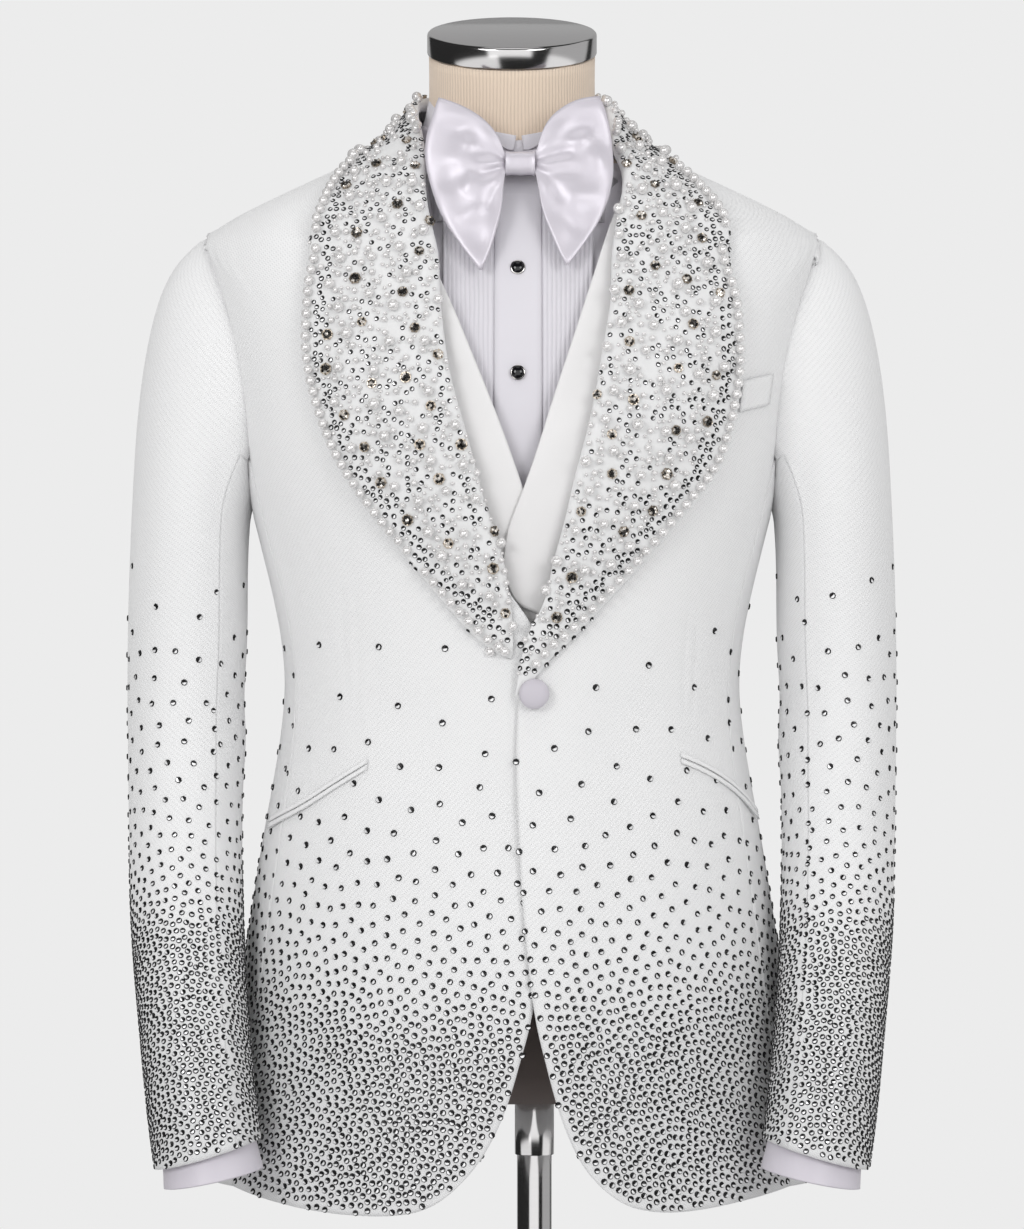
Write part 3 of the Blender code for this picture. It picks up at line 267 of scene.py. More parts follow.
def cloth_finish(name, base, kind, pitch, rough=0.85, sheen=0.25, bump=0.4, depth=0.0006, coat=0.0,
                 lustre=0.0, stone_shadow=1.0):
    """A cloth material on the piece's own cut, with painted shade at its edges and painted shadow among
    close stones.
    """
    made, tree, shader = finish_of(name)
    if tree is None:
        return made
    pattern = patterned(tree, kind, put(tree, "UVMap", uv_map="Cut").outputs[0], pitch)
    edge = put(tree, "Attribute", attribute_name="to_edge").outputs["Fac"]
    # Painted shade: the cloth darkens along its own edges and seams.
    seam = soft_range(tree, edge, 0.0, SEAM_WIDTH, PAINTED_SEAM_SHADE, 1.0)
    shade = maths(tree, "MULTIPLY", pattern["Shade"], seam)
    # Painted shadow among close stones: the cloth darkens towards the hem.
    if stone_shadow < 1.0:
        among = soft_range(tree, axes_of(tree, object_place(tree))[2], *STONE_SHADOW_HEIGHTS, stone_shadow, 1.0)
        shade = maths(tree, "MULTIPLY", shade, among)
    threads = {"Strength": bump, "Distance": depth, "Height": pattern["Height"]}
    join(tree, shader, {
        "Base Color": tinted(tree, shade, base), "Roughness": rough, "Sheen Weight": sheen,
        "Sheen Roughness": 0.4, "Metallic": lustre, "Coat Weight": coat, "Coat Roughness": 0.3,
        "Normal": put(tree, "Bump", threads).outputs[0],
    })
    return made


def metal_finish(name, base, rough, metal=1.0, streak=0.0):
    """A metal or glossy material with faint rubbed streaks."""
    made, tree, shader = finish_of(name)
    if tree is None:
        return made
    stretch = put(tree, "Mapping", {"Vector": object_place(tree), "Scale": (3.0, 3.0, 260.0)})
    rub = noise(tree, stretch.outputs[0], 9.0, 3.0)
    join(tree, shader, {
        "Base Color": tinted(tree, maths(tree, "MULTIPLY_ADD", rub, 0.16, 0.9), base),
        "Roughness": maths(tree, "MULTIPLY_ADD", rub, streak, rough), "Metallic": metal,
    })
    return made


# ---------------------------------------------------------------- mesh helpers
def smooth_step(value, low, high):
    t = np.clip((value - low) / (high - low), 0.0, 1.0)
    return t * t * (3 - 2 * t)


def opened(mesh):
    """A mesh as a bmesh, to be worked on."""
    work = bmesh.new()
    work.from_mesh(mesh)
    return work


def stored(work, mesh):
    """Writes a worked bmesh into a mesh and frees it."""
    work.to_mesh(mesh)
    work.free()
    return mesh


def mesh_from(work, name):
    return stored(work, bpy.data.meshes.new(name))


def added(name, data):
    """A new object in the scene."""
    made = bpy.data.objects.new(name, data)
    bpy.context.scene.collection.objects.link(made)
    return made


def point_tree(points):
    """A tree that finds the nearest of some places."""
    tree = KDTree(len(points) or 1)
    for k, point in enumerate(points):
        tree.insert(point, k)
    tree.balance()
    return tree


def copy_of(name):
    """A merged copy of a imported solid."""
    work = opened(NODES[name].data)
    bmesh.ops.remove_doubles(work, verts=work.verts[:], dist=1e-6)
    return work


def quads(work):
    """Joins a solid's triangles in pairs, so that it smooths along its own rows."""
    bmesh.ops.join_triangles(
        work, faces=work.faces[:], cmp_seam=False, cmp_sharp=False, cmp_uvs=False, cmp_vcols=False,
        cmp_materials=False, angle_face_threshold=math.radians(60), angle_shape_threshold=math.radians(70),
    )
    return work


SKIN_PROBE = 2e-5      # starts a probe just under a face
WALL_REACH = 1.8       # the wall's other skin is nearer than this many thicknesses
FOLD_ANGLE = 1.1       # a sharper edge than this, in radians, parts one skin from the next
SLEEVE_OUT = 0.17      # a piece whose middle is further out than this is round an arm
SCRAP = 0.02           # a skin smaller than this share of the largest is a scrap


def shells_of(work):
    """A mesh's faces in groups that only sharp edges part."""
    seen, shells = set(), []
    for first in work.faces:
        if first in seen:
            continue
        seen.add(first)
        shell, queue = [], [first]
        while queue:
            face = queue.pop()
            shell.append(face)
            for side in face.edges:
                if len(side.link_faces) == 2 and side.calc_face_angle(0.0) > FOLD_ANGLE:
                    continue
                for near in side.link_faces:
                    if near not in seen:
                        seen.add(near)
                        queue.append(near)
        shells.append(shell)
    return shells


def outer_skin(work, cloth, hoop=False):
    """Keeps the outer skin of a cloth wall, or of a hoop of cloth, and drops its rims and inner skin."""
    work.normal_update()
    tree = BVHTree.FromBMesh(work)
    rims = []
    for face in work.faces:
        start = face.calc_center_median() - face.normal * SKIN_PROBE
        if tree.ray_cast(start, -face.normal, cloth * WALL_REACH)[0] is None:
            rims.append(face)
    bmesh.ops.delete(work, geom=rims, context="FACES")
    middle = sum((v.co for v in work.verts), Vector()) / len(work.verts)
    middle = Vector((0 if abs(middle.x) < SLEEVE_OUT else middle.x, middle.y / 2, 0))
    shells = []
    for shell in shells_of(work):
        area = facing = 0.0
        for face in shell:
            away = face.calc_center_median() - middle
            away.z = 0.0
            area += face.calc_area()
            facing += face.normal.dot(away.normalized()) * face.calc_area()
        shells.append((area, facing, shell))
    if hoop:
        widest = max(shells, key=lambda shell: shell[0])
        drop = [face for shell in shells if shell is not widest for face in shell[2]]
    else:
        largest = max(area for area, facing, shell in shells if facing > 0)
        drop = [face for area, facing, shell in shells
                if facing < 0.0 or area < SCRAP * largest for face in shell]
    bmesh.ops.delete(work, geom=drop, context="FACES")
    return work


def refined(work, levels):
    """The mesh smoothed by a subdivision surface."""
    rough = mesh_from(work, "rough")
    holder = added("rough", rough)
    soften = holder.modifiers.new("Smooth", "SUBSURF")
    soften.levels = soften.render_levels = levels
    soften.boundary_smooth = "PRESERVE_CORNERS"
    seen = holder.evaluated_get(bpy.context.evaluated_depsgraph_get())
    fine = bpy.data.meshes.new_from_object(seen)
    bpy.data.objects.remove(holder)
    bpy.data.meshes.remove(rough)
    fine.materials.clear()
    return fine


def trimmed(mesh, picks):
    """Cuts off the small faces of a sheet whose middles are picked."""
    work = opened(mesh)
    bmesh.ops.delete(work, geom=[f for f in work.faces if picks(f.calc_center_median())], context="FACES")
    stored(work, mesh)


def allowance(mesh, picks, reach, sink):
    """Turns cloth out beyond the picked open edges, under the next piece, and counts the new points."""
    work = opened(mesh)
    work.normal_update()
    before = len(work.verts)
    rim, ways = [], {}
    for edge in work.edges:
        if not edge.is_boundary:
            continue
        a, b = (v.co for v in edge.verts)
        line = (b - a).normalized()
        if not picks((a + b) / 2, line):
            continue
        rim.append(edge)
        face = edge.link_faces[0]
        away = face.normal.cross(line)
        if away.dot((a + b) / 2 - face.calc_center_median()) < 0:
            away.negate()
        for vert in edge.verts:
            total = ways.setdefault(vert, [Vector(), Vector()])
            total[0] += away
            total[1] += face.normal
    made = bmesh.ops.extrude_edge_only(work, edges=rim)["geom"]
    for vert in [v for v in made if isinstance(v, bmesh.types.BMVert)]:
        for edge in vert.link_edges:
            old = edge.other_vert(vert)
            if old in ways:
                away, normal = (w.normalized() for w in ways[old])
                vert.co = old.co + away * reach - normal * sink
                break
    turned_over = [
        f for f in made if isinstance(f, bmesh.types.BMFace)
        and not all(e.is_contiguous for e in f.edges if len(e.link_faces) == 2 and e in rim)
    ]
    bmesh.ops.reverse_faces(work, faces=turned_over)
    return len(stored(work, mesh).vertices) - before


def read(layer, key, wide=3):
    """A layer's values as rows of numbers."""
    found = np.empty(len(layer) * wide, np.float32)
    layer.foreach_get(key, found)
    return found.reshape(-1, wide).astype(float)


def places_of(mesh):
    return read(mesh.vertices, "co")


def normals_of(mesh):
    return read(mesh.vertex_normals, "vector")


def edge_distance(mesh):
    """How far each point is from the mesh's open edge, up to the distance that is kept."""
    work = opened(mesh)
    rim = [(a.verts[0].co + a.verts[1].co) / 2 for a in work.edges if a.is_boundary]
    rim += [v.co.copy() for v in work.verts if v.is_boundary]
    work.free()
    if not rim:
        return np.full(len(mesh.vertices), EDGE_REACH)
    tree = point_tree(rim)
    return np.array([min(tree.find(v.co)[2], EDGE_REACH) for v in mesh.vertices])


def keep_edge(mesh, edge):
    """Keeps how far each point is from its piece's edge, for the finish and the stones."""
    layer = mesh.attributes.new("to_edge", "FLOAT", "POINT")
    layer.data.foreach_set("value", edge.astype(np.float32))


def cut_map(mesh, across, along):
    """The piece's own flat places, in metres, kept as a UV map."""
    corners = np.empty(len(mesh.loops), np.int32)
    mesh.loops.foreach_get("vertex_index", corners)
    flat = np.stack([across[corners], along[corners]], 1).astype(np.float32)
    layer = mesh.uv_layers.new(name="Cut")
    layer.uv.foreach_set("vector", flat.ravel())


BODY_WIDE, BODY_DEEP = 0.185, 0.137     # half width and half depth of the body's mean section
SHOULDER = 1.33                         # height where cloth turns in over the shoulder


def flat_cut(points):
    """Across and up, for a small piece that faces the front."""
    return points[:, 0], points[:, 2]


def body_cut(points):
    """Round the body and up it, for a mean section."""
    turn = np.arctan2(points[:, 0] / BODY_WIDE, -points[:, 1] / BODY_DEEP)
    steps = np.linspace(-math.pi, math.pi, 721)
    x, y = BODY_WIDE * np.sin(steps), -BODY_DEEP * np.cos(steps)
    run = np.concatenate([[0], np.cumsum(np.hypot(np.diff(x), np.diff(y)))])
    high = np.maximum(points[:, 2] - SHOULDER, 0)
    return np.interp(turn, steps, run), points[:, 2] + 0.9 * high


SLEEVE_ROUND = 0.053                    # mean radius of a sleeve
SLEEVE_LINE = (  # height, distance out and depth of the sleeve's middle
    (0.64, 0.2070, -0.122), (0.677, 0.2110, -0.115), (0.721, 0.2170, -0.099), (0.774, 0.2228, -0.077),
    (0.835, 0.2293, -0.047), (0.905, 0.2320, -0.020), (0.965, 0.2328, -0.006), (1.045, 0.2320, 0.003),
    (1.150, 0.2297, 0.000), (1.240, 0.2050, 0.000), (1.340, 0.1900, 0.000),
)


def sleeve_cut(points, side):
    """Round the sleeve and down it."""
    heights, out, deep = zip(*SLEEVE_LINE)
    middle_x, middle_y = np.interp(points[:, 2], heights, out), np.interp(points[:, 2], heights, deep)
    turn = np.arctan2(points[:, 1] - middle_y, points[:, 0] * side - middle_x)
    turn = np.where(turn > 2.5, turn - 2 * math.pi, turn)
    return turn * SLEEVE_ROUND, points[:, 2] * 1.03


CREASE_BOW = 0.12      # how much a crease bends, for its length


def crease(points, table, side=1, back=False):
    """How far points move in along given lines: rows of x, z, x, z, width and depth."""
    facing = smooth_step(points[:, 1] if back else -points[:, 1], -0.02, 0.03)
    moved = np.zeros(len(points))
    for x0, z0, x1, z1, width, depth in table:
        start = np.array([x0 * side, z0])
        line = np.array([x1 * side, z1]) - start
        seen = points[:, (0, 2)] - start
        t = np.clip(seen @ line / (line @ line), 0, 1)
        bow = CREASE_BOW * np.hypot(*line) * t * (1 - t)
        away = np.hypot(*(seen - t[:, None] * line).T) - bow
        moved -= depth * np.exp(-((away / width) ** 2)) * np.sin(math.pi * np.clip(t, 0.04, 0.96)) * facing
    return moved


def settle(mesh, moved):
    """Moves each point along its normal."""
    points = places_of(mesh) + normals_of(mesh) * moved[:, None]
    mesh.vertices.foreach_set("co", points.astype(np.float32).ravel())
    mesh.update()


def shown(name, mesh, finish, *nodes):
    """A finished piece that rides on the frame and stands for its solids."""
    piece = added(name, mesh)
    mesh.materials.clear()
    mesh.materials.append(finish)
    mesh.shade_smooth()
    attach(piece, "root")
    if nodes:
        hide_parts(*nodes)
    return piece


def thicken(piece, cloth):
    """Gives a piece its wall, inwards from its outer skin."""
    wall = piece.modifiers.new("Cloth", "SOLIDIFY")
    wall.thickness = cloth
    wall.offset = -1.0
    wall.use_rim = True
    return piece


def panel(node, levels, cloth, finish, cut, held="hung", rests_on=("form_body",), lines=(), side=1,
          seam=0.0004, back=False, extra=None, hoop=False, turned_out=(), trim=None):
    """One cut piece of cloth: its solid's outer skin smoothed, creased and thickened.

    Lines are its creases, seam is how far its edge is drawn in, turned_out is a list of picked
    edges with the reach and sink of their allowance, and extra gives a form of the piece's own.
    """
    mesh = refined(quads(outer_skin(copy_of(node), cloth, hoop)), levels)
    if trim is not None:
        trimmed(mesh, trim)
    edge = edge_distance(mesh)
    for picks, reach, sink in turned_out:
        edge = np.concatenate([edge, np.zeros(allowance(mesh, picks, reach, sink))])
    points = places_of(mesh)
    moved = crease(points, lines, side, back) * smooth_step(edge, 0.0, EDGE_CALM)
    moved -= seam * np.exp(-((edge / SEAM_GROOVE) ** 2))
    if extra is not None:
        moved += extra(points, edge)
    across, along = cut(points)
    settle(mesh, moved)
    keep_edge(mesh, edge)
    cut_map(mesh, across, along)
    piece = thicken(shown("cloth_" + node, mesh, finish, node), cloth)
    return piece


laid = partial(panel, held="folded", seam=0.0)     # a small folded piece that lies on another


# ---------------------------------------------------------------- scattered beads
class Crowd:
    """Places already taken, in cells, so that beads keep their distance."""

    def __init__(self, cell):
        self.cell, self.cells = cell, {}

    def key(self, point):
        return tuple(int(math.floor(c / self.cell)) for c in point)

    def clear(self, point, reach):
        """True if nothing lies nearer than reach plus its own stored radius."""
        span = int(math.ceil(reach / self.cell))
        for key in product(*(range(c - span, c + span + 1) for c in self.key(point))):
            for px, py, pz, radius in self.cells.get(key, ()):
                gap = reach + radius
                dx, dy, dz = point[0] - px, point[1] - py, point[2] - pz
                if dx * dx + dy * dy + dz * dz < gap * gap:
                    return False
        return True

    def add(self, point, radius=0.0):
        self.cells.setdefault(self.key(point), []).append((*point, radius))


def ordered_triangles(mesh):
    """The mesh's triangles as point numbers, in an order that depends on their places alone."""
    keys = np.round(places_of(mesh), 6)
    rank = np.empty(len(keys), int)
    rank[np.lexsort(keys.T)] = np.arange(len(keys))
    fans = []
    for face in mesh.polygons:
        corners = list(face.vertices)
        start = min(range(len(corners)), key=lambda k: rank[corners[k]])
        corners = corners[start:] + corners[:start]
        fans += [(corners[0], corners[k], corners[k + 1]) for k in range(1, len(corners) - 1)]
    fans = np.array(fans)
    return fans[np.lexsort(rank[fans].T[::-1])]


def throws(mesh, weight, density, dice):
    """Random places on a mesh and the normals there, as many as the weight times the density."""
    corners = ordered_triangles(mesh)
    points, normals = places_of(mesh)[corners], normals_of(mesh)[corners]
    area = np.linalg.norm(np.cross(points[:, 1] - points[:, 0], points[:, 2] - points[:, 0]), axis=1) / 2
    share = area * weight(points.mean(1))
    if share.sum() <= 0:
        return np.zeros((0, 3)), np.zeros((0, 3))
    pick = dice.choice(len(share), size=int(share.sum() * density), p=share / share.sum())
    a, b = dice.random((2, len(pick), 1))
    flip = a + b > 1
    a, b = np.where(flip, 1 - a, a), np.where(flip, 1 - b, b)
    mixed = [v[pick, 0] * (1 - a - b) + v[pick, 1] * a + v[pick, 2] * b for v in (points, normals)]
    return mixed[0], mixed[1] / np.linalg.norm(mixed[1], axis=1, keepdims=True)


NEIGHBOURS = 6         # stones that push on each stone
PUSH_REACH = 1.5       # they push from nearer than this many gaps,
PUSH = 0.28            # this strongly for each gap of spacing,
PUSH_MOST = 0.25       # and by no more than this many gaps at once


def even_out(places, gaps, tree, rounds=6):
    """Pushes crowded places apart along the cloth, so that their spacing is nearly even."""
    places = [Vector(p) for p in places]
    for _ in range(rounds):
        near = point_tree(places)
        moved = []
        for k, point in enumerate(places):
            push = Vector()
            reach = gaps[k] * PUSH_REACH
            for other, j, away in near.find_n(point, NEIGHBOURS + 1)[1:]:
                if 1e-6 < away < reach:
                    push += (point - other) * ((reach - away) / (away * reach))
            push *= gaps[k] * PUSH
            if push.length > gaps[k] * PUSH_MOST:
                push.length = gaps[k] * PUSH_MOST
            moved.append(tree.find_nearest(point + push)[0])
        places = moved
    return places, [tree.find_nearest(point)[1] for point in places]


def plain_tones(base, faces, dice, count):
    """One tone for each whole bead."""
    return np.repeat(dice.random(count), len(faces))


def painted_glint_clusters(base, faces, dice, count):
    """Painted glints: a tone for each of a cluster's seven stones, few bright and most dark."""
    bright = np.where(dice.random((count, 7)) < 0.4, 1.0, 0.05)
    noise = 0.3 * (dice.random((count, len(faces))) - 0.6)
    return np.clip(np.repeat(bright, len(faces) // 7, axis=1) + noise, 0.0, 1.0).ravel()


def painted_glint_halves(base, faces, dice, count):
    """A painted reflection: one side of each stone bright and the other dark, with chance changes from facet
    to facet.
    """
    a, b, c = (base[faces[:, k]] for k in range(3))
    middle = (a + b + c) / 3
    across = np.cross(b - a, c - a)
    level = np.abs(across[:, 2]) / np.linalg.norm(across, axis=1)
    turn = np.arctan2(middle[:, 1], middle[:, 0])
    tones = np.where(level > 0.9, 2.2 * np.maximum(np.cos(turn), 0.0), 0.0)
    strength = 0.75 + 0.5 * dice.random((count, 1))
    chance = 0.2 * (dice.random((count, len(faces))) - 0.7)
    return np.clip(tones[None] * strength + chance, 0.0, 1.0).ravel()


TURN_CHANCE = 0.36     # share of a full turn over which a turned stone may lie


def strew(name, shape, places, normals, sizes, finish, dice, flat=False, lift=0.0, tones=plain_tones,
          turn=None):
    """One joined mesh of many copies of a small shape, each stood on its place.

    Each copy is turned by chance, or near one turn where that is given. Lift raises it by a share
    of its size, and tones gives each of its faces a tone, which on stones and crystals is a painted glint.
    """
    shape.verts.ensure_lookup_table()
    bmesh.ops.triangulate(shape, faces=shape.faces[:])
    base = np.array([v.co for v in shape.verts])
    faces = np.array([[v.index for v in f.verts] for f in shape.faces])
    shape.free()
    places, normals, sizes = np.array(places), np.array(normals), np.array(sizes)
    count = len(places)
    spin = dice.random(count) * 2 * math.pi
    if turn is not None:
        spin = turn + (spin - math.pi) * TURN_CHANCE
    other = np.where(np.abs(normals[:, 2:]) < 0.9, [[0.0, 0.0, 1.0]], [[1.0, 0.0, 0.0]])
    first = np.cross(other, normals)
    first /= np.linalg.norm(first, axis=1, keepdims=True)
    second = np.cross(normals, first)
    c, s = np.cos(spin)[:, None], np.sin(spin)[:, None]
    first, second = first * c + second * s, second * c - first * s
    local = base[None] * sizes[:, None, None]
    points = (places[:, None] + normals[:, None] * (lift * sizes)[:, None, None]
              + local[:, :, :1] * first[:, None] + local[:, :, 1:2] * second[:, None]
              + local[:, :, 2:] * normals[:, None])
    mesh = bpy.data.meshes.new(name)
    joined = (faces[None] + (np.arange(count) * len(base))[:, None, None]).reshape(-1, 3)
    mesh.vertices.add(count * len(base))
    mesh.vertices.foreach_set("co", points.astype(np.float32).ravel())
    mesh.loops.add(joined.size)
    mesh.loops.foreach_set("vertex_index", joined.astype(np.int32).ravel())
    mesh.polygons.add(len(joined))
    mesh.polygons.foreach_set("loop_start", np.arange(0, joined.size, 3, dtype=np.int32))
    mesh.polygons.foreach_set("loop_total", np.full(len(joined), 3, np.int32))
    mesh.update(calc_edges=True)
    # Each face's tone: random on beads, a painted glint on stones and crystals.
    tone = tones(base, faces, dice, count).astype(np.float32)
    mesh.attributes.new("tone", "FLOAT", "FACE").data.foreach_set("value", tone)
    piece = shown(name, mesh, finish)
    if flat:
        mesh.shade_flat()
    return piece


def strew_gems(name, places, normals, sizes, finish, dice):
    """Foiled stones, each with its bright half, a painted reflection, turned roughly downwards."""
    strew(name, gem(), places, normals, sizes, finish, dice, flat=True, tones=painted_glint_halves,
          turn=-math.pi / 2)


def gem():
    """A faceted stone with a low table of eight sectors, open below where it is glued down."""
    work = bmesh.new()
    bmesh.ops.create_cone(work, cap_ends=True, segments=8, radius1=1.0, radius2=0.70, depth=0.42)
    work.normal_update()
    bmesh.ops.delete(work, geom=[f for f in work.faces if f.normal.z < -0.9], context="FACES")
    bmesh.ops.poke(work, faces=[f for f in work.faces if f.normal.z > 0.9], offset=0.05)
    bmesh.ops.translate(work, verts=work.verts[:], vec=(0, 0, 0.21))
    return work


def ball(around, up):
    work = bmesh.new()
    bmesh.ops.create_uvsphere(work, u_segments=around, v_segments=up, radius=1.0)
    return work


def seed():
    work = bmesh.new()
    bmesh.ops.create_icosphere(work, subdivisions=1, radius=1.0)
    return work


def cluster():
    """Seven small cut stones set close together."""
    work = bmesh.new()
    for k in range(7):
        reach, rise = (0.56, 0.42) if k else (0.0, 0.62)
        place = Matrix.Rotation(math.pi / 3 * k, 4, "Z") @ Matrix.Translation((reach, 0, rise))
        bmesh.ops.create_icosphere(work, subdivisions=1, radius=0.36, matrix=place)
    return work


def claws():
    """The cup and the small claws that hold a cluster of stones."""
    work = bmesh.new()
    bmesh.ops.create_cone(work, cap_ends=True, segments=12, radius1=0.70, radius2=0.98, depth=0.42)
    bmesh.ops.translate(work, verts=work.verts[:], vec=(0, 0, 0.2))
    for k in range(6):
        turn = Matrix.Rotation(math.pi / 3 * (k + 0.5), 4, "Z") @ Matrix.Translation((0.84, 0, 0.48))
        bmesh.ops.create_cone(work, cap_ends=True, segments=4, radius1=0.20, radius2=0.12, depth=0.5,
                              matrix=turn @ Matrix.Rotation(-0.3, 4, "Y"))
    return work


def stone_finish(name, base, rough, metal=1.0, coat=0.0, change=0.5, glint=0.5):
    """Foiled stone, nacre or antique metal, each one a little different in tone; on stones and crystals the
    tone is a painted glint.
    """
    made, tree, shader = finish_of(name)
    if tree is None:
        return made
    tone = put(tree, "Attribute", attribute_name="tone").outputs["Fac"]
    cloud = noise(tree, object_place(tree), 900.0, 1.0)
    shade = maths(tree, "MULTIPLY_ADD", tone, change, 1.0 - change)
    shade = maths(tree, "MULTIPLY", shade, maths(tree, "MULTIPLY_ADD", cloud, 0.2, 0.9))
    join(tree, shader, {
        "Base Color": tinted(tree, shade, base, 0.014), "Roughness": rough, "Metallic": metal,
        "Specular IOR Level": glint, "Coat Weight": coat, "Coat Roughness": 0.08,
    })
    return made


def foiled_finish(stones):
    """The finish of every foiled stone on the collar, the skirt and the sleeves."""
    return stone_finish("Foiled stone", stones.silver, 0.22, metal=0.2, change=1.0, glint=0.12)


# ---------------------------------------------------------------- operators
PANELS = (  # pale sheets that only show in reflections: from and to in turn and rise, and brightness
    (-34, 28, -22, 24, 1.3), (54, 125, -60, 45, 0.55), (52, 106, -42, -16, 0.6),
    (-92, -20, -42, -20, 1.1), (140, 185, -20, 62, 0.42), (-185, -150, -20, 62, 0.42),
)


LAMPS = (  # name, place, size and share of the power
    ("Key_left", (-2.0, -3.3, 2.2), 1.6, 1.25), ("Key_right", (2.0, -3.3, 2.2), 1.6, 1.05),
    ("Top", (0.0, -0.8, 4.2), 2.0, 0.35),
)
WHITE = (1.0, 1.0, 1.0, 1.0)


def band(tree, value, low, high, soft=3):
    """1 between two angles in degrees and 0 beyond them, with soft ends."""
    low, high, soft = (math.radians(angle) for angle in (low, high, soft))
    up = soft_range(tree, value, low - soft, low + soft)
    down = soft_range(tree, value, high - soft, high + soft, 1.0, 0.0)
    return maths(tree, "MULTIPLY", up, down)


def studio_light(stage, scene):
    """Light from all round: pale to the eye, with a dark studio front in reflections."""
    world = scene.world = bpy.data.worlds.new("Studio")
    world.use_nodes = True
    tree = world.node_tree
    tree.nodes.clear()
    across, deep, up = axes_of(tree, put(tree, "TexCoord").outputs["Generated"])
    turn = maths(tree, "ARCTAN2", across, maths(tree, "MULTIPLY", deep, -1.0))
    rise = maths(tree, "ARCSINE", up)
    mirror = 0.03
    for left, right, low, high, bright in PANELS:
        sheet = maths(tree, "MULTIPLY", band(tree, turn, left, right), band(tree, rise, low, high))
        mirror = maths(tree, "MULTIPLY_ADD", sheet, bright, mirror)
    pale, shine, round_about = (
        put(tree, "Background", {0: tint, 1: strength}).outputs[0]
        for tint, strength in (((*stage.backdrop, 1.0), 1.0), (WHITE, mirror), (WHITE, stage.fill))
    )
    path = put(tree, "LightPath").outputs
    mixed = put(tree, "MixShader", {0: path["Is Glossy Ray"], 1: round_about, 2: shine}).outputs[0]
    mixed = put(tree, "MixShader", {0: path["Is Camera Ray"], 1: mixed, 2: pale}).outputs[0]
    put(tree, "OutputWorld", {0: mixed})
    for name, place, size, share in LAMPS:
        lamp = bpy.data.lights.new(name, "AREA")
        lamp.shape, lamp.size, lamp.energy = "DISK", size, stage.key * share
        holder = added(name, lamp)
        holder.location = place
        aim = Vector((0.0, 0.0, 1.05)) - Vector(place)
        holder.rotation_euler = aim.to_track_quat("-Z", "Y").to_euler()


def floor_finish(stage):
    """A pale floor that fades into the backdrop."""
    made, tree, shader = finish_of("Pale floor")
    if tree is None:
        return made
    join(tree, shader, {"Base Color": (0.8, 0.8, 0.8, 1.0), "Roughness": 0.9})
    away = put(tree, "VectorMath", {0: object_place(tree)}, operation="LENGTH").outputs["Value"]
    glow = put(tree, "Emission", {0: (*stage.backdrop, 1.0), 1: 1.0}).outputs[0]
    blend = {0: soft_range(tree, away, 1.0, 4.2), 1: shader.outputs[0], 2: glow}
    tree.links.new(put(tree, "MixShader", blend).outputs[0], tree.nodes["Material Output"].inputs[0])
    return made


def pale_floor(stage):
    work = bmesh.new()
    bmesh.ops.create_circle(work, cap_ends=True, segments=96, radius=4.6)
    bmesh.ops.translate(work, verts=work.verts[:], vec=(0, 0, -0.0005))
    floor = added("floor", mesh_from(work, "floor"))
    floor.data.materials.append(floor_finish(stage))
    floor.visible_glossy = False


class TUXEDO_OT_stage(bpy.types.Operator):
    """Pale floor and backdrop, soft studio lights and the camera"""

    bl_idname = "tuxedo.stage"
    bl_label = "Stage"

    def execute(self, context):
        scene, stage = context.scene, context.scene.tuxedo_stage
        scene.view_settings.view_transform = "Standard"
        camera = scene.camera = added("Camera", bpy.data.cameras.new("Camera"))
        camera.data.lens, camera.data.sensor_width, camera.data.clip_end = stage.lens, 36.0, 100.0
        camera.location = (0.0, -stage.distance, stage.eye)
        camera.rotation_euler = (math.pi / 2, 0.0, 0.0)
        studio_light(stage, scene)
        pale_floor(stage)
        return {"FINISHED"}


def jersey_finish(cloth):
    """Ribbed jersey above the form's waist edge, and smooth darker cloth below it."""
    made, tree, shader = finish_of("Jersey form")
    if tree is None:
        return made
    place = put(tree, "UVMap", uv_map="Cut").outputs[0]
    ribs = patterned(tree, "Ribs", place, cloth.rib)
    fine = patterned(tree, "Fine cloth", place, 0.0008)
    height = axes_of(tree, object_place(tree))[2]
    upper = put(tree, "MapRange", {0: height, 1: WAIST_EDGE - 0.005, 2: WAIST_EDGE + 0.005}).outputs[0]
    warm = tinted(tree, ribs["Shade"], cloth.jersey)
    dull = tinted(tree, fine["Shade"], cloth.lower_form)
    high = put(tree, "Mix", {0: upper, 2: fine["Height"], 3: ribs["Height"]}).outputs[0]
    raised = put(tree, "Bump", {"Strength": 0.5, "Distance": 0.0008, "Height": high})
    join(tree, shader, {
        "Base Color": put(tree, "Mix", {0: upper, 6: dull, 7: warm}, data_type="RGBA").outputs[2],
        "Roughness": 0.9, "Sheen Weight": 0.3, "Normal": raised.outputs[0],
    })
    return made


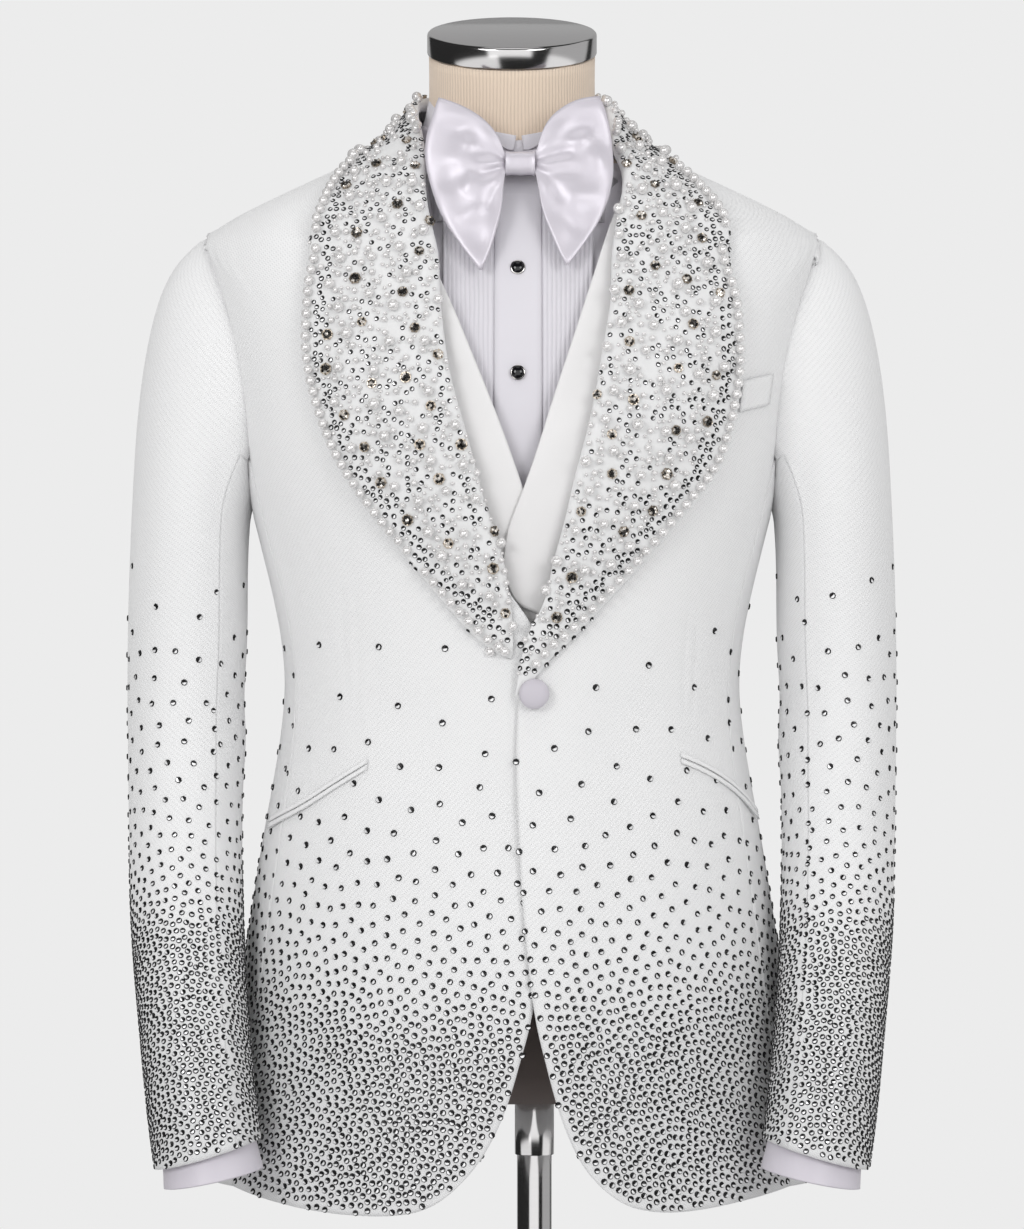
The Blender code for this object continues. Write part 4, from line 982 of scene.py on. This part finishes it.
class TUXEDO_OT_form(bpy.types.Operator):
    """Padded form in jersey, its metal cap, the pole and the base"""

    bl_idname = "tuxedo.form"
    bl_label = "Dress form and stand"

    def execute(self, context):
        work = quads(copy_of("form_body"))
        layer = work.edges.layers.float.new("crease_edge")
        for edge in work.edges:
            if len(edge.link_faces) == 2 and edge.calc_face_angle(0) > math.radians(50):
                edge[layer] = 1.0
        mesh = refined(work, 2)
        points = places_of(mesh)
        turn = np.arctan2(points[:, 0], -points[:, 1])
        cut_map(mesh, turn * 0.06, points[:, 2])
        body = shown("form_torso", mesh, jersey_finish(context.scene.tuxedo_cloth), "form_body")

        steel = metal_finish("Polished steel", (0.60, 0.59, 0.59), 0.10, streak=0.08)
        brushed = metal_finish("Brushed steel", (0.62, 0.60, 0.61), 0.36, streak=0.2)
        pole = Matrix.Translation((POLE_X, 0, 0))
        turned("stand_tube_upper", (
            (0.0129, 0.6763), (0.0137, 0.6763), (0.0140, 0.6768), (0.0140, 0.7190), (0.0137, 0.7196),
            (0.0129, 0.7196)), 64, steel, "stand_upper_tube", pole, closed=True)
        turned("stand_tube_lower", (
            (0.0109, 0.0364), (0.0124, 0.0364), (0.0124, 0.712), (0.0109, 0.712)),
            64, steel, "stand_lower_tube", pole, closed=True)
        turned("stand_foot", (
            (0.0, 0.0), (0.1700, 0.0), (0.1716, 0.0006), (0.1720, 0.0020), (0.1720, 0.0060),
            (0.1712, 0.0074), (0.1690, 0.0080), (0.040, 0.0108), (0.030, 0.0125), (0.0215, 0.0185),
            (0.0200, 0.0225), (0.0200, 0.0345), (0.0190, 0.0360), (0.0, 0.0360)),
            96, brushed, "stand_base", pole)
        lean = Matrix.Translation((0, 0, 1.4627)) @ Matrix.Rotation(math.radians(16.5), 4, "X")
        turned("neck_cap", (
            (0.0, 0.0002), (0.0598, 0.0002), (0.0604, 0.0006), (0.0606, 0.0014), (0.0606, 0.0134),
            (0.0603, 0.0146), (0.0594, 0.0155), (0.0584, 0.0158), (0.0, 0.0160)),
            96, steel, "form_cap", lean)
        return {"FINISHED"}


def turned(name, profile, sides, finish, node, place, closed=False, sharp=35):
    """A piece turned about its own upright axis from its radii and heights, then put in place."""
    work = bmesh.new()
    corners = [work.verts.new((radius, 0, height)) for radius, height in profile]
    run = list(zip(corners, corners[1:] + (corners[:1] if closed else [])))
    edges = [work.edges.new(pair) for pair in run if pair[0] is not pair[1]]
    bmesh.ops.spin(work, geom=corners + edges, axis=(0, 0, 1), cent=(0, 0, 0), dvec=(0, 0, 0),
                   angle=2 * math.pi, steps=sides, use_merge=True)
    bmesh.ops.remove_doubles(work, verts=work.verts[:], dist=1e-6)
    bmesh.ops.transform(work, matrix=place, verts=work.verts[:])
    bmesh.ops.recalc_face_normals(work, faces=work.faces[:])
    piece = shown(name, mesh_from(work, name), finish, node)
    piece.data.set_sharp_from_angle(angle=math.radians(sharp))
    return piece


class TUXEDO_OT_shirt(bpy.types.Operator):
    """Pleated shirt with its placket, collar, cuffs and studs"""

    bl_idname = "tuxedo.shirt"
    bl_label = "Shirt"

    def execute(self, context):
        cloth = context.scene.tuxedo_cloth
        pearly = tuple(c * 0.98 for c in cloth.satin)
        cotton = cloth_finish("Fine cotton", cloth.shirt, "Fine cloth", 0.0006, rough=0.75, sheen=0.15,
                              bump=0.2, depth=0.0003)
        tucked = cloth_finish("Tucked cotton", cloth.shirt, "Ribs", 0.0032, rough=0.75, sheen=0.15,
                              bump=0.5, depth=0.0006)
        cuff = cloth_finish("Cuff satin", pearly, "Fine cloth", 0.0006, rough=0.42, sheen=0.2,
                            bump=0.1, depth=0.0003, coat=0.15)

        def neck(point, line):
            near = abs(point.x) < 0.1 and point.y < 0.03
            return near and (point.z > 1.345 or point.z > 1.315 and abs(line.z) < 0.6)

        def inner(point, line):
            return abs(point.x - 0.0043) < 0.021 and abs(line.z) > 0.8

        def upright(point, line):
            return abs(line.z) > 0.8

        def stand_foot(point, line):
            return point.z < 1.395 + point.y * 0.2

        def stand_front(point, line):
            return not stand_foot(point, line) and point.y < -0.035

        def stand_sides(point, line):
            return not stand_foot(point, line) and point.y >= -0.035 and point.z < 1.4215

        for word, side in SIDES:
            for part in ("front", "back"):
                panel(f"shirt_{part}_{word}", 2, SHIRT_CLOTH, cotton, body_cut,
                      turned_out=[(neck, 0.014, 0.0)])
            panel("shirt_bib_" + word, 2, SHIRT_CLOTH, tucked, flat_cut,
                  rests_on=["shirt_front_" + word], seam=0.0,
                  turned_out=[(neck, 0.030, 0.0), (inner, 0.003, 0.0002)])
            laid("shirt_wing_" + word, 2, SHIRT_CLOTH, cotton, flat_cut, rests_on=["shirt_collar_stand"])
            round_arm = partial(sleeve_cut, side=side)
            panel("shirt_sleeve_" + word, 1, SHIRT_CLOTH, cotton, round_arm)
            panel("shirt_cuff_" + word, 3, CUFF_CLOTH, cuff, round_arm,
                  rests_on=["shirt_sleeve_" + word], seam=0.0002)
        panel("shirt_placket", 2, SHIRT_CLOTH, cotton, flat_cut, rests_on=["shirt_front_left"], seam=0.0,
              turned_out=[(neck, 0.013, 0.0), (upright, 0.0012, 0.0012)])
        laid("shirt_collar_stand", 2, SHIRT_CLOTH, cotton, body_cut,
             turned_out=[(stand_front, 0.0006, 0.0062), (stand_sides, 0.012, -0.0010),
                         (stand_foot, 0.020, -0.0035)])
        black = metal_finish("Black enamel", (0.006, 0.006, 0.007), 0.06, metal=0.0)
        rim = metal_finish("Stud rim", (0.62, 0.60, 0.58), 0.16)
        for word in ("upper", "lower"):
            node = "shirt_stud_" + word
            place = facing_out(node, 0.00175)
            turned("stud_setting_" + word, (
                (0.0, 0.0), (0.0049, 0.0), (0.0053, 0.0008), (0.0052, 0.0014), (0.0046, 0.0018),
                (0.0, 0.0018)), 40, rim, node, place)
            turned("stud_dome_" + word, (
                (0.0, 0.0018), (0.0045, 0.0018), (0.0041, 0.0027), (0.0029, 0.0034), (0.0014, 0.0038),
                (0.0, 0.0039)), 40, black, node, place, sharp=80)
        return {"FINISHED"}


def mean_normal(node):
    """The way a small disc faces: away from the body, across its widest faces."""
    work = copy_of(node)
    total = Vector()
    for face in work.faces:
        if face.normal.y < -0.3:
            total += face.normal * face.calc_area()
    work.free()
    return total.normalized()


def facing_out(node, sink):
    """Stands a turned piece on its solid's middle, sunk by that much and facing as the solid does."""
    low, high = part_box(node)
    normal = mean_normal(node)
    turn = Vector((0, 0, 1)).rotation_difference(normal).to_matrix().to_4x4()
    return Matrix.Translation((low + high) / 2 - normal * sink) @ turn


class TUXEDO_OT_waistcoat(bpy.types.Operator):
    """Waistcoat fronts, backs and crossing lapels"""

    bl_idname = "tuxedo.waistcoat"
    bl_label = "Waistcoat"

    def execute(self, context):
        cloth = context.scene.tuxedo_cloth
        smooth = cloth_finish("Waistcoat cloth", cloth.waistcoat, "Fine cloth", 0.0005, rough=0.6,
                              bump=0.15, depth=0.0003, coat=0.05)
        for word, side in SIDES:
            for part in ("front", "back"):
                panel(f"waistcoat_{part}_{word}", 2, WAISTCOAT_CLOTH, smooth, body_cut)
            panel("waistcoat_lapel_" + word, 3, WAISTCOAT_CLOTH, smooth, body_cut, held="folded", side=side,
                  rests_on=["waistcoat_front_" + word], lines=LAPEL_FOLDS)
        return {"FINISHED"}


# Creases are rows of x, height, x, height, width and depth, seen from the front or from the back.
LAPEL_FOLDS = (
    (0.030, 1.20, 0.075, 1.30, 0.010, 0.0014), (0.020, 1.14, 0.060, 1.19, 0.012, 0.0012),
)
BOW_FOLDS_LEFT = (  # from beside the knot outwards
    (0.016, 1.3790, 0.044, 1.3880, 0.0036, 0.0024), (0.040, 1.3870, 0.056, 1.4020, 0.0050, -0.0020),
    (0.026, 1.3950, 0.060, 1.4070, 0.0050, 0.0020), (0.017, 1.3745, 0.052, 1.3700, 0.0040, 0.0024),
    (0.054, 1.3900, 0.066, 1.3720, 0.0056, -0.0018), (0.018, 1.3700, 0.040, 1.3470, 0.0038, 0.0022),
    (0.038, 1.3560, 0.064, 1.3540, 0.0056, -0.0018), (0.030, 1.3480, 0.052, 1.3250, 0.0050, 0.0018),
)
BOW_FOLDS_RIGHT = (
    (-0.004, 1.3790, 0.030, 1.3850, 0.0036, 0.0024), (0.026, 1.3860, 0.036, 1.4040, 0.0050, -0.0022),
    (0.012, 1.3900, 0.050, 1.4080, 0.0050, 0.0020), (-0.004, 1.3745, 0.024, 1.3690, 0.0036, 0.0026),
    (0.026, 1.3720, 0.034, 1.3540, 0.0046, -0.0020), (0.040, 1.3800, 0.048, 1.3560, 0.0056, 0.0020),
    (-0.003, 1.3700, 0.018, 1.3420, 0.0036, 0.0022), (0.014, 1.3480, 0.040, 1.3340, 0.0052, -0.0018),
    (0.010, 1.3300, 0.026, 1.3150, 0.0046, 0.0016),
)
KNOT_X, KNOT_HEIGHT = 0.0058, 1.3775     # the middle of the bow tie's knot
SHOULDER_SEAM = 1.32                     # the shoulder seams are above this
VENT_TOP = 0.866                         # the back's centre seam ends here, where its vent begins
HEAD = 1.318                             # the sleeve's head is above this, its armhole below
PULLS = (  # from the button, down from the armhole and down the skirt
    (0.040, 1.000, 0.120, 0.985, 0.014, 0.0012), (0.035, 0.985, 0.105, 0.940, 0.016, 0.0012),
    (0.150, 1.190, 0.110, 1.060, 0.020, 0.0018), (0.165, 1.150, 0.140, 1.040, 0.016, 0.0014),
    (0.060, 0.900, 0.075, 0.700, 0.022, 0.0014), (0.125, 0.880, 0.140, 0.700, 0.024, 0.0018),
)
FRONT_FOLDS = {  # with each front's dart, and a fold beside the lap on the right
    "left": (*PULLS, (0.1268, 1.090, 0.1220, 0.966, 0.0012, 0.0007)),
    "right": (*PULLS, (0.1150, 1.127, 0.1100, 0.966, 0.0012, 0.0007),
              (0.010, 0.995, 0.013, 0.820, 0.012, 0.0024)),
}
BACK_FOLDS = (
    (0.150, 1.20, 0.100, 1.06, 0.022, 0.002), (0.060, 1.36, 0.120, 1.33, 0.016, 0.0014),
)


class TUXEDO_OT_bow(bpy.types.Operator):
    """Satin butterfly bow tie with its knot and neck band"""

    bl_idname = "tuxedo.bow"
    bl_label = "Bow tie"

    def execute(self, context):
        cloth = context.scene.tuxedo_cloth
        satin = cloth_finish("Lustrous satin", cloth.satin, "Fine cloth", 0.0004, rough=0.37, sheen=0.0,
                             bump=0.06, depth=0.0002, coat=0.12, lustre=0.18)
        centre = np.array([KNOT_X, KNOT_HEIGHT])

        def folds(side):
            def lift(points, edge):
                seen = points[:, (0, 2)] - centre
                away = np.hypot(*seen.T)
                turn = np.arctan2(seen[:, 1], seen[:, 0] * side)
                near = np.exp(-away / 0.028)
                pleats = 0.0020 * np.cos(turn * 9.0 + 0.6 * side) * near * smooth_step(away, 0.006, 0.014)
                slow = np.cos(turn * 4.1 + away * 90 + side) * np.sin(away * 130 + turn * 2 + 1.3 * side)
                swell = 0.0009 * slow * smooth_step(away, 0.016, 0.04)
                front = smooth_step(-points[:, 1], 0.076, 0.088)
                calm = smooth_step(edge, 0.0, 0.008)
                return (pleats + swell) * calm * (0.35 + 0.65 * front)
            return lift

        def gathers(points, edge):
            return 0.0003 * np.cos((points[:, 0] - KNOT_X) * 420) * smooth_step(edge, 0, 0.002)

        for word, side in SIDES:
            panel("bow_lobe_" + word, 3, BOW_CLOTH, satin, flat_cut, held="folded", rests_on=["bow_knot"],
                  lines=BOW_FOLDS_LEFT if side > 0 else BOW_FOLDS_RIGHT, side=side, seam=0.0003,
                  extra=folds(side), hoop=True)
        laid("bow_knot", 3, KNOT_CLOTH, satin, flat_cut, rests_on=["bow_neck_band"], extra=gathers,
             hoop=True)
        laid("bow_neck_band", 2, BAND_CLOTH, satin, body_cut, rests_on=["shirt_collar_stand"])
        return {"FINISHED"}


class TUXEDO_OT_jacket(bpy.types.Operator):
    """Jacket fronts, sides, backs, sleeves, pockets and button"""

    bl_idname = "tuxedo.jacket"
    bl_label = "Jacket"

    def execute(self, context):
        cloth = context.scene.tuxedo_cloth
        # Darker towards the hem: painted shadow among the close stones.
        weave = cloth_finish("Diagonal weave cloth", cloth.jacket, "Diagonal weave", cloth.weave,
                             stone_shadow=0.84)
        plain = cloth_finish("Jet cloth", cloth.jacket, "Fine cloth", 0.0008, rough=0.7, sheen=0.2,
                             bump=0.2, depth=0.0003)
        satin = cloth_finish("Covered button satin", tuple(c * 0.91 for c in cloth.satin), "Fine cloth",
                             0.0004, rough=0.5, sheen=0.2, bump=0.06, depth=0.0002)

        def upright(point, line):
            return abs(line.z) > 0.6

        def front_seams(point, line):
            if point.z > SHOULDER_SEAM and abs(line.x) > 0.7 and abs(point.x) < 0.2185:
                return True
            if abs(point.x) >= 0.2 or armpit(point, line):
                return False
            return point.z > 1.34 or abs(point.x) > 0.12 and (abs(line.z) > 0.6 or point.z > 0.75)

        def armhole(point, line):
            return 1.175 < point.z < HEAD

        def sleeve_head(point, line):
            return point.z >= HEAD

        def shoulder_point(middle):
            return abs(middle.x) > 0.219 and middle.z > SHOULDER_SEAM

        def shoulder_end(points, edge):
            return (-0.0012 * smooth_step(np.abs(points[:, 0]), 0.190, 0.217)
                    * smooth_step(points[:, 2], 1.295, 1.325))

        def under_arm(points, edge):
            return (0.0022 * np.exp(-((points[:, 2] - 1.155) / 0.035) ** 2)
                    * smooth_step(0.207 - np.abs(points[:, 0]), 0.0, 0.014))

        def armpit(point, line):
            return 1.09 < point.z < 1.23 and abs(point.x) > 0.14 and abs(line.z) > 0.4

        def side_top(point, line):
            return point.z > 1.0 and abs(line.z) < 0.8

        def back_seams(point, line):
            centre = abs(point.x) < 0.02 and point.z > VENT_TOP
            side_seam = abs(point.x) > 0.09 and abs(line.z) > 0.5
            return abs(point.x) < 0.2 and (side_seam or centre or point.z > 1.20)

        for word, side in SIDES:
            panel("jacket_front_" + word, 3, JACKET_CLOTH, weave, body_cut, side=side,
                  lines=FRONT_FOLDS[word], extra=shoulder_end, trim=shoulder_point,
                  turned_out=[(armpit, 0.011, 0.0022), (front_seams, 0.0045, 0.0012)])
            panel("jacket_side_" + word, 3, JACKET_CLOTH, weave, body_cut,
                  turned_out=[(side_top, 0.0045, 0.0012)])
            panel("jacket_back_" + word, 3, JACKET_CLOTH, weave, body_cut, side=side, back=True,
                  lines=BACK_FOLDS, extra=shoulder_end, trim=shoulder_point,
                  turned_out=[(back_seams, 0.0045, 0.0012)])
            for part, levels, turned_out in (
                ("upper", 3, [(armhole, 0.007, 0.0), (sleeve_head, 0.006, 0.0018)]),
                ("under", 2, [(upright, 0.003, 0.0012)]),
            ):
                panel(f"jacket_sleeve_{part}_{word}", levels, JACKET_CLOTH, weave,
                      partial(sleeve_cut, side=side), rests_on=["jacket_side_" + word], seam=0.0001,
                      extra=under_arm, turned_out=turned_out)
            for part in ("upper", "lower"):
                laid(f"hip_jet_{part}_{word}", 2, POCKET_CLOTH, plain, body_cut,
                     rests_on=["jacket_front_" + word])
        laid("breast_welt", 2, POCKET_CLOTH, weave, body_cut, rests_on=["jacket_front_left"])
        button = turned("covered_button", (
            (0.0, 0.0), (0.0092, 0.0), (0.0103, 0.0008), (0.0105, 0.0016), (0.0101, 0.0030),
            (0.0088, 0.0041), (0.0062, 0.0050), (0.0030, 0.0054), (0.0, 0.0055)),
            64, satin, "jacket_button", facing_out("jacket_button", 0.0027), sharp=80)
        cut_map(button.data, *flat_cut(places_of(button.data)))
        return {"FINISHED"}


PEARL_TIP = 0.0012     # a raised pearl's tip stands further out than this from all round it
PEARL_HIGH = 0.0036    # how far the solid's pearls stand off the collar
PEARL_BREAK = 0.03     # a longer way than this between two of them isn't strung
COLLAR_FOOT = 1.02     # the beading ends above this height


def smooth_collar(node):
    """The collar's solid with its raised pearls let down, and where the pearls stood."""
    work = copy_of(node)
    work.normal_update()
    pearls, ways, tips = [], [], []
    for vert in work.verts:
        near = [e.other_vert(vert) for e in vert.link_edges]
        if min((vert.co - v.co).dot(vert.normal) for v in near) > PEARL_TIP:
            tips.append((vert, near))
    for vert, near in tips:
        pairs = [(a.co + b.co) / 2 for k, a in enumerate(near) for b in near[k + 1:]]
        flat = min(pairs, key=lambda p: (p - vert.co).length)
        pearls.append(vert.co.copy())
        ways.append((vert.co - flat).normalized())
        vert.co = flat
    return work, pearls, ways


def border_row(pearls, ways, radius):
    """Pearls strung evenly along the collar's border, wider apart towards its lower end."""
    order = sorted(range(len(pearls)), key=lambda k: along_collar(pearls[k]))
    line = [(pearls[k] - ways[k] * PEARL_HIGH, ways[k]) for k in order]
    found, left = [], 0.0
    for (a, up_a), (b, up_b) in zip(line, line[1:]):
        span = (b - a).length
        if span > PEARL_BREAK:
            continue
        while left < span:
            t = left / span
            way = up_a.lerp(up_b, t).normalized()
            found.append((a.lerp(b, t) + way * radius * 0.85, way))
            left += 0.0079 + 0.0012 * smooth_step(1.16 - a.z, 0.0, 0.08)
        left -= span
    return found


def along_collar(point):
    """Rises from the collar's tip, up the front and round the back of the neck."""
    return point.z if point.y < 0.0 else 2.0 - abs(point.x)


class TUXEDO_OT_collar(bpy.types.Operator):
    """Shawl collar with its pearls, seed beads, stones and set crystals"""

    bl_idname = "tuxedo.collar"
    bl_label = "Beaded collar"

    def execute(self, context):
        cloth, stones = context.scene.tuxedo_cloth, context.scene.tuxedo_stones
        smooth = cloth_finish("Collar cloth", cloth.collar, "Fine cloth", 0.0007, rough=0.7, sheen=0.2,
                              bump=0.2, depth=0.0003)
        nacre = stone_finish("Nacre", stones.nacre, 0.13, metal=0.30, coat=1.0, change=0.08)
        silver = foiled_finish(stones)
        antique = stone_finish("Antique claws", stones.antique, 0.28, change=0.3)
        clear = stone_finish("Clear crystal", (0.95, 0.90, 0.84), 0.14, metal=0.55, change=1.0)
        for word, side in SIDES:
            node = "shawl_collar_" + word
            work, pearls, ways = smooth_collar(node)
            mesh = refined(quads(work), 1)
            keep_edge(mesh, np.full(len(mesh.vertices), EDGE_REACH))
            cut_map(mesh, *body_cut(places_of(mesh)))
            shown("cloth_" + node, mesh, smooth, node)
            dice = np.random.default_rng(stones.scatter + (1 if side > 0 else 2))
            border = [(p, w) for p, w in border_row(pearls, ways, stones.pearl) if p.z > COLLAR_FOOT]
            taken = Crowd(0.006)
            for place, way in border:
                taken.add(place, stones.pearl)
            sizes = stones.pearl * (0.97 + 0.06 * dice.random(len(border)))
            strew("pearls_border_" + word, ball(14, 9), *zip(*border), sizes, nacre, dice)
            # Everything inside the border, largest first.
            tree = point_tree([place for place, way in border])
            skin = outer_side(mesh)
            inwards = inward_ways(border, skin)
            groups = {}
            for kind, radius, gap, density, own_gap, near, far in (
                ("crystal", stones.crystal, 0.0006, 9e3, 0.0240, 0.0110, 0.2),
                ("large", 0.0038, 0.0004, 2.0e4, 0.0180, 0.0120, 0.2),
                ("close", stones.stone * 0.92, 0.0001, 4e5, 0.0, 0.0048, 0.0125),
                ("small", 0.0023, 0.0003, 4.0e4, 0.0080, 0.0060, 0.2),
                ("stone", stones.stone * 0.96, 0.0003, 1.5e5, 0.0, 0.0060, 0.2),
                ("seed", stones.seed_bead, 0.0002, 1.8e5, 0.0, 0.0050, 0.2),
            ):
                throw, face = throws(skin, lambda middles: 1.0, density, dice)
                apart, found = Crowd(max(own_gap, 0.004)), []
                for point, normal, luck in zip(throw, face, dice.random(len(throw))):
                    size = radius * (0.88 + 0.24 * luck)
                    away = inside_border(point, tree, inwards)
                    if not near < away < far or luck > keep_chance(kind, away):
                        continue
                    if own_gap and not apart.clear(point, own_gap) or not taken.clear(point, size + gap):
                        continue
                    taken.add(point, size)
                    apart.add(point)
                    found.append((point, normal, size))
                groups[kind] = list(zip(*found)) or [(), (), ()]
            bpy.data.meshes.remove(skin)
            strew("crystal_claws_" + word, claws(), *groups["crystal"], antique, dice, flat=True)
            # The crystals' few bright and many dark stones are painted glints.
            strew("crystal_stones_" + word, cluster(), *groups["crystal"], clear, dice, flat=True,
                  tones=painted_glint_clusters)
            strew("pearls_large_" + word, ball(12, 8), *groups["large"], nacre, dice, lift=0.8)
            strew("pearls_small_" + word, ball(9, 6), *groups["small"], nacre, dice, lift=0.8)
            both = [a + b for a, b in zip(groups["stone"], groups["close"])]
            strew_gems("collar_stones_" + word, *both, silver, dice)
            strew("seed_beads_" + word, seed(), *groups["seed"], nacre, dice, lift=0.7)
        return {"FINISHED"}


def inside_border(point, tree, inwards):
    """How far a place is from the border's nearest pearl, or 0 outside the border and below its end."""
    nearest, k, away = tree.find(point)
    if point[2] < COLLAR_FOOT + 0.001 or away < 0.008 and (Vector(point) - nearest).dot(inwards[k]) < 0.0022:
        return 0.0
    return away


def keep_chance(kind, away):
    """Stones thin out away from the collar's border."""
    if kind in ("crystal", "large", "close"):
        return 1.0
    fade = min(max((away - 0.012) / 0.045, 0.0), 1.0)
    return {"small": 0.9 - 0.3 * fade, "stone": 0.50 - 0.27 * fade, "seed": 0.60 - 0.30 * fade}[kind]


def inward_ways(border, skin):
    """At each border pearl, the way along the collar that leads in from its edge."""
    tree = point_tree([v.co for v in skin.vertices])
    found = []
    for place, way in border:
        inwards = sum((near - place for near, j, away in tree.find_range(place, 0.028)), Vector())
        found.append((inwards - way * inwards.dot(way)).normalized())
    return found


def outer_side(mesh):
    """The part of a closed wall's mesh that faces away from the body, as a new mesh."""
    work = opened(mesh)
    work.normal_update()
    tree = BVHTree.FromBMesh(work)
    drop = []
    for face in work.faces:
        centre = face.calc_center_median()
        out = Vector((centre.x, centre.y, 0.0))
        if centre.z > SHOULDER:
            out.z = 0.06
        hidden = tree.ray_cast(centre + face.normal * 1e-4, face.normal, 0.02)[0]
        if face.normal.dot(out.normalized()) < 0.45 or hidden is not None:
            drop.append(face)
    bmesh.ops.delete(work, geom=drop, context="FACES")
    return mesh_from(work, "skin")


# From one stone to the next at each height: closest at the hems.
SKIRT_GAPS = (
    (0.64, 0.0042), (0.765, 0.0044), (0.80, 0.0061), (0.85, 0.0096), (0.90, 0.0150), (0.96, 0.0240),
    (1.02, 0.0340), (1.03, 1.0),
)
SLEEVE_GAPS = (
    (0.64, 0.0040), (0.838, 0.0041), (0.86, 0.0058), (0.90, 0.0090), (0.95, 0.0130), (1.04, 0.0150),
    (1.07, 0.0300), (1.08, 1.0),
)
STONE_TOP = 1.09       # no stone is tried above this height
WIDEST_GAP = 0.05      # where stones would lie further apart than this, none is set
FIRST_MARGINS = 0.0022, 0.0012   # from a hem and from a seam, before the spacing is evened out
LAST_MARGINS = 0.0016, 0.0007    # and after it
STONE_CLEAR = 0.0034   # the middles of stones on two panels are at least this far apart


def stone_gap(points, sleeve):
    """From one stone to the next at some places; on the skirt they reach higher at the sides."""
    if sleeve:
        return np.interp(points[:, 2], *zip(*SLEEVE_GAPS))
    outward = np.clip((np.abs(points[:, 0]) - 0.06) / 0.11, 0, 1) ** 2
    return np.interp(points[:, 2] - 0.026 * outward, *zip(*SKIRT_GAPS)) * (1.0 + 0.12 * outward)


def near_edge(point, rim, sleeve, hem, seam):
    """True if a place is nearer to its panel's edge than the margin of a hem or of a seam."""
    at_seam = point[2] > 0.705 if sleeve else abs(point[0]) > 0.1 and point[2] > 0.675
    return rim.find(point)[2] < (seam if at_seam else hem)


class TUXEDO_OT_rhinestones(bpy.types.Operator):
    """Rhinestones strewn over the skirt and sleeves, denser towards the hems"""

    bl_idname = "tuxedo.rhinestones"
    bl_label = "Rhinestones"

    def execute(self, context):
        stones = context.scene.tuxedo_stones
        silver = foiled_finish(stones)
        for word, side in SIDES:
            for start, parts, sleeve in (
                (11, ("jacket_front_", "jacket_side_", "jacket_back_"), False),
                (12, ("jacket_sleeve_upper_", "jacket_sleeve_under_"), True),
            ):
                taken, final = Crowd(0.007), Crowd(0.004)
                dice = np.random.default_rng(start + 2 * (side > 0) + stones.scatter)
                for part in parts:
                    mesh = bpy.data.objects["cloth_" + part + word].data
                    edge = read(mesh.attributes["to_edge"].data, "value", 1)[:, 0]
                    rim = point_tree([mesh.vertices[int(k)].co for k in np.flatnonzero(edge < 1e-5)])
                    places = throws(
                        mesh, lambda c: stone_gap(c, sleeve) ** -2.0 * (c[:, 2] < STONE_TOP), 14, dice)[0]
                    kept, gaps, sizes = [], [], []
                    for point, gap, chance in zip(places, stone_gap(places, sleeve),
                                                  dice.random(len(places))):
                        if gap > WIDEST_GAP or near_edge(point, rim, sleeve, *FIRST_MARGINS):
                            continue
                        if not taken.clear(point, gap * 0.96):
                            continue
                        taken.add(point)
                        kept.append(point)
                        gaps.append(gap * 1.12)
                        lone = 0.1 if gap > 0.012 else 0.0
                        sizes.append(stones.stone * ((0.98 if sleeve else 1.06) + 0.08 * chance + lone))
                    if not kept:
                        continue
                    cloth = opened(mesh)
                    surface = BVHTree.FromBMesh(cloth)
                    cloth.free()
                    settled, normals = even_out(kept, gaps, surface)
                    inside = [k for k, point in enumerate(settled)
                              if not near_edge(point, rim, sleeve, *LAST_MARGINS)
                              and final.clear(point, STONE_CLEAR)]
                    for k in inside:
                        final.add(settled[k])
                    strew_gems("rhinestones_" + part + word,
                               *([column[k] for k in inside] for column in (settled, normals, sizes)),
                               silver, dice)
        return {"FINISHED"}


STEPS = (TUXEDO_OT_stage, TUXEDO_OT_form, TUXEDO_OT_shirt, TUXEDO_OT_waistcoat, TUXEDO_OT_bow,
         TUXEDO_OT_jacket, TUXEDO_OT_collar, TUXEDO_OT_rhinestones)


class TUXEDO_PT_sidebar(bpy.types.Panel):
    """Lists the pieces of the tuxedo and their sizes and colours"""

    bl_idname = "TUXEDO_PT_sidebar"
    bl_label = "Tuxedo"
    bl_space_type = "VIEW_3D"
    bl_region_type = "UI"
    bl_category = "Tuxedo"

    def draw(self, context):
        for name, kind in SETTINGS:
            box = self.layout.box()
            box.label(text=name.removeprefix("tuxedo_").title())
            for key in kind.__annotations__:
                box.prop(getattr(context.scene, name), key)
        for step in STEPS:
            self.layout.operator(step.bl_idname)


SETTINGS = (("tuxedo_cloth", TuxedoCloth), ("tuxedo_stones", TuxedoStones), ("tuxedo_stage", TuxedoStage))


def register():
    for name, settings in SETTINGS:
        bpy.utils.register_class(settings)
        setattr(bpy.types.Scene, name, PointerProperty(type=settings))
    for made in (*STEPS, TUXEDO_PT_sidebar):
        bpy.utils.register_class(made)


def unregister():
    for made in reversed((*STEPS, TUXEDO_PT_sidebar)):
        bpy.utils.unregister_class(made)
    for name, settings in reversed(SETTINGS):
        delattr(bpy.types.Scene, name)
        bpy.utils.unregister_class(settings)


def main():
    register()
    bpy.ops.tuxedo.stage()
    bpy.ops.tuxedo.form()
    bpy.ops.tuxedo.shirt()
    bpy.ops.tuxedo.waistcoat()
    bpy.ops.tuxedo.bow()
    bpy.ops.tuxedo.jacket()
    bpy.ops.tuxedo.collar()
    bpy.ops.tuxedo.rhinestones()
    bpy.context.view_layer.update()


if __name__ == "__main__":
    main()
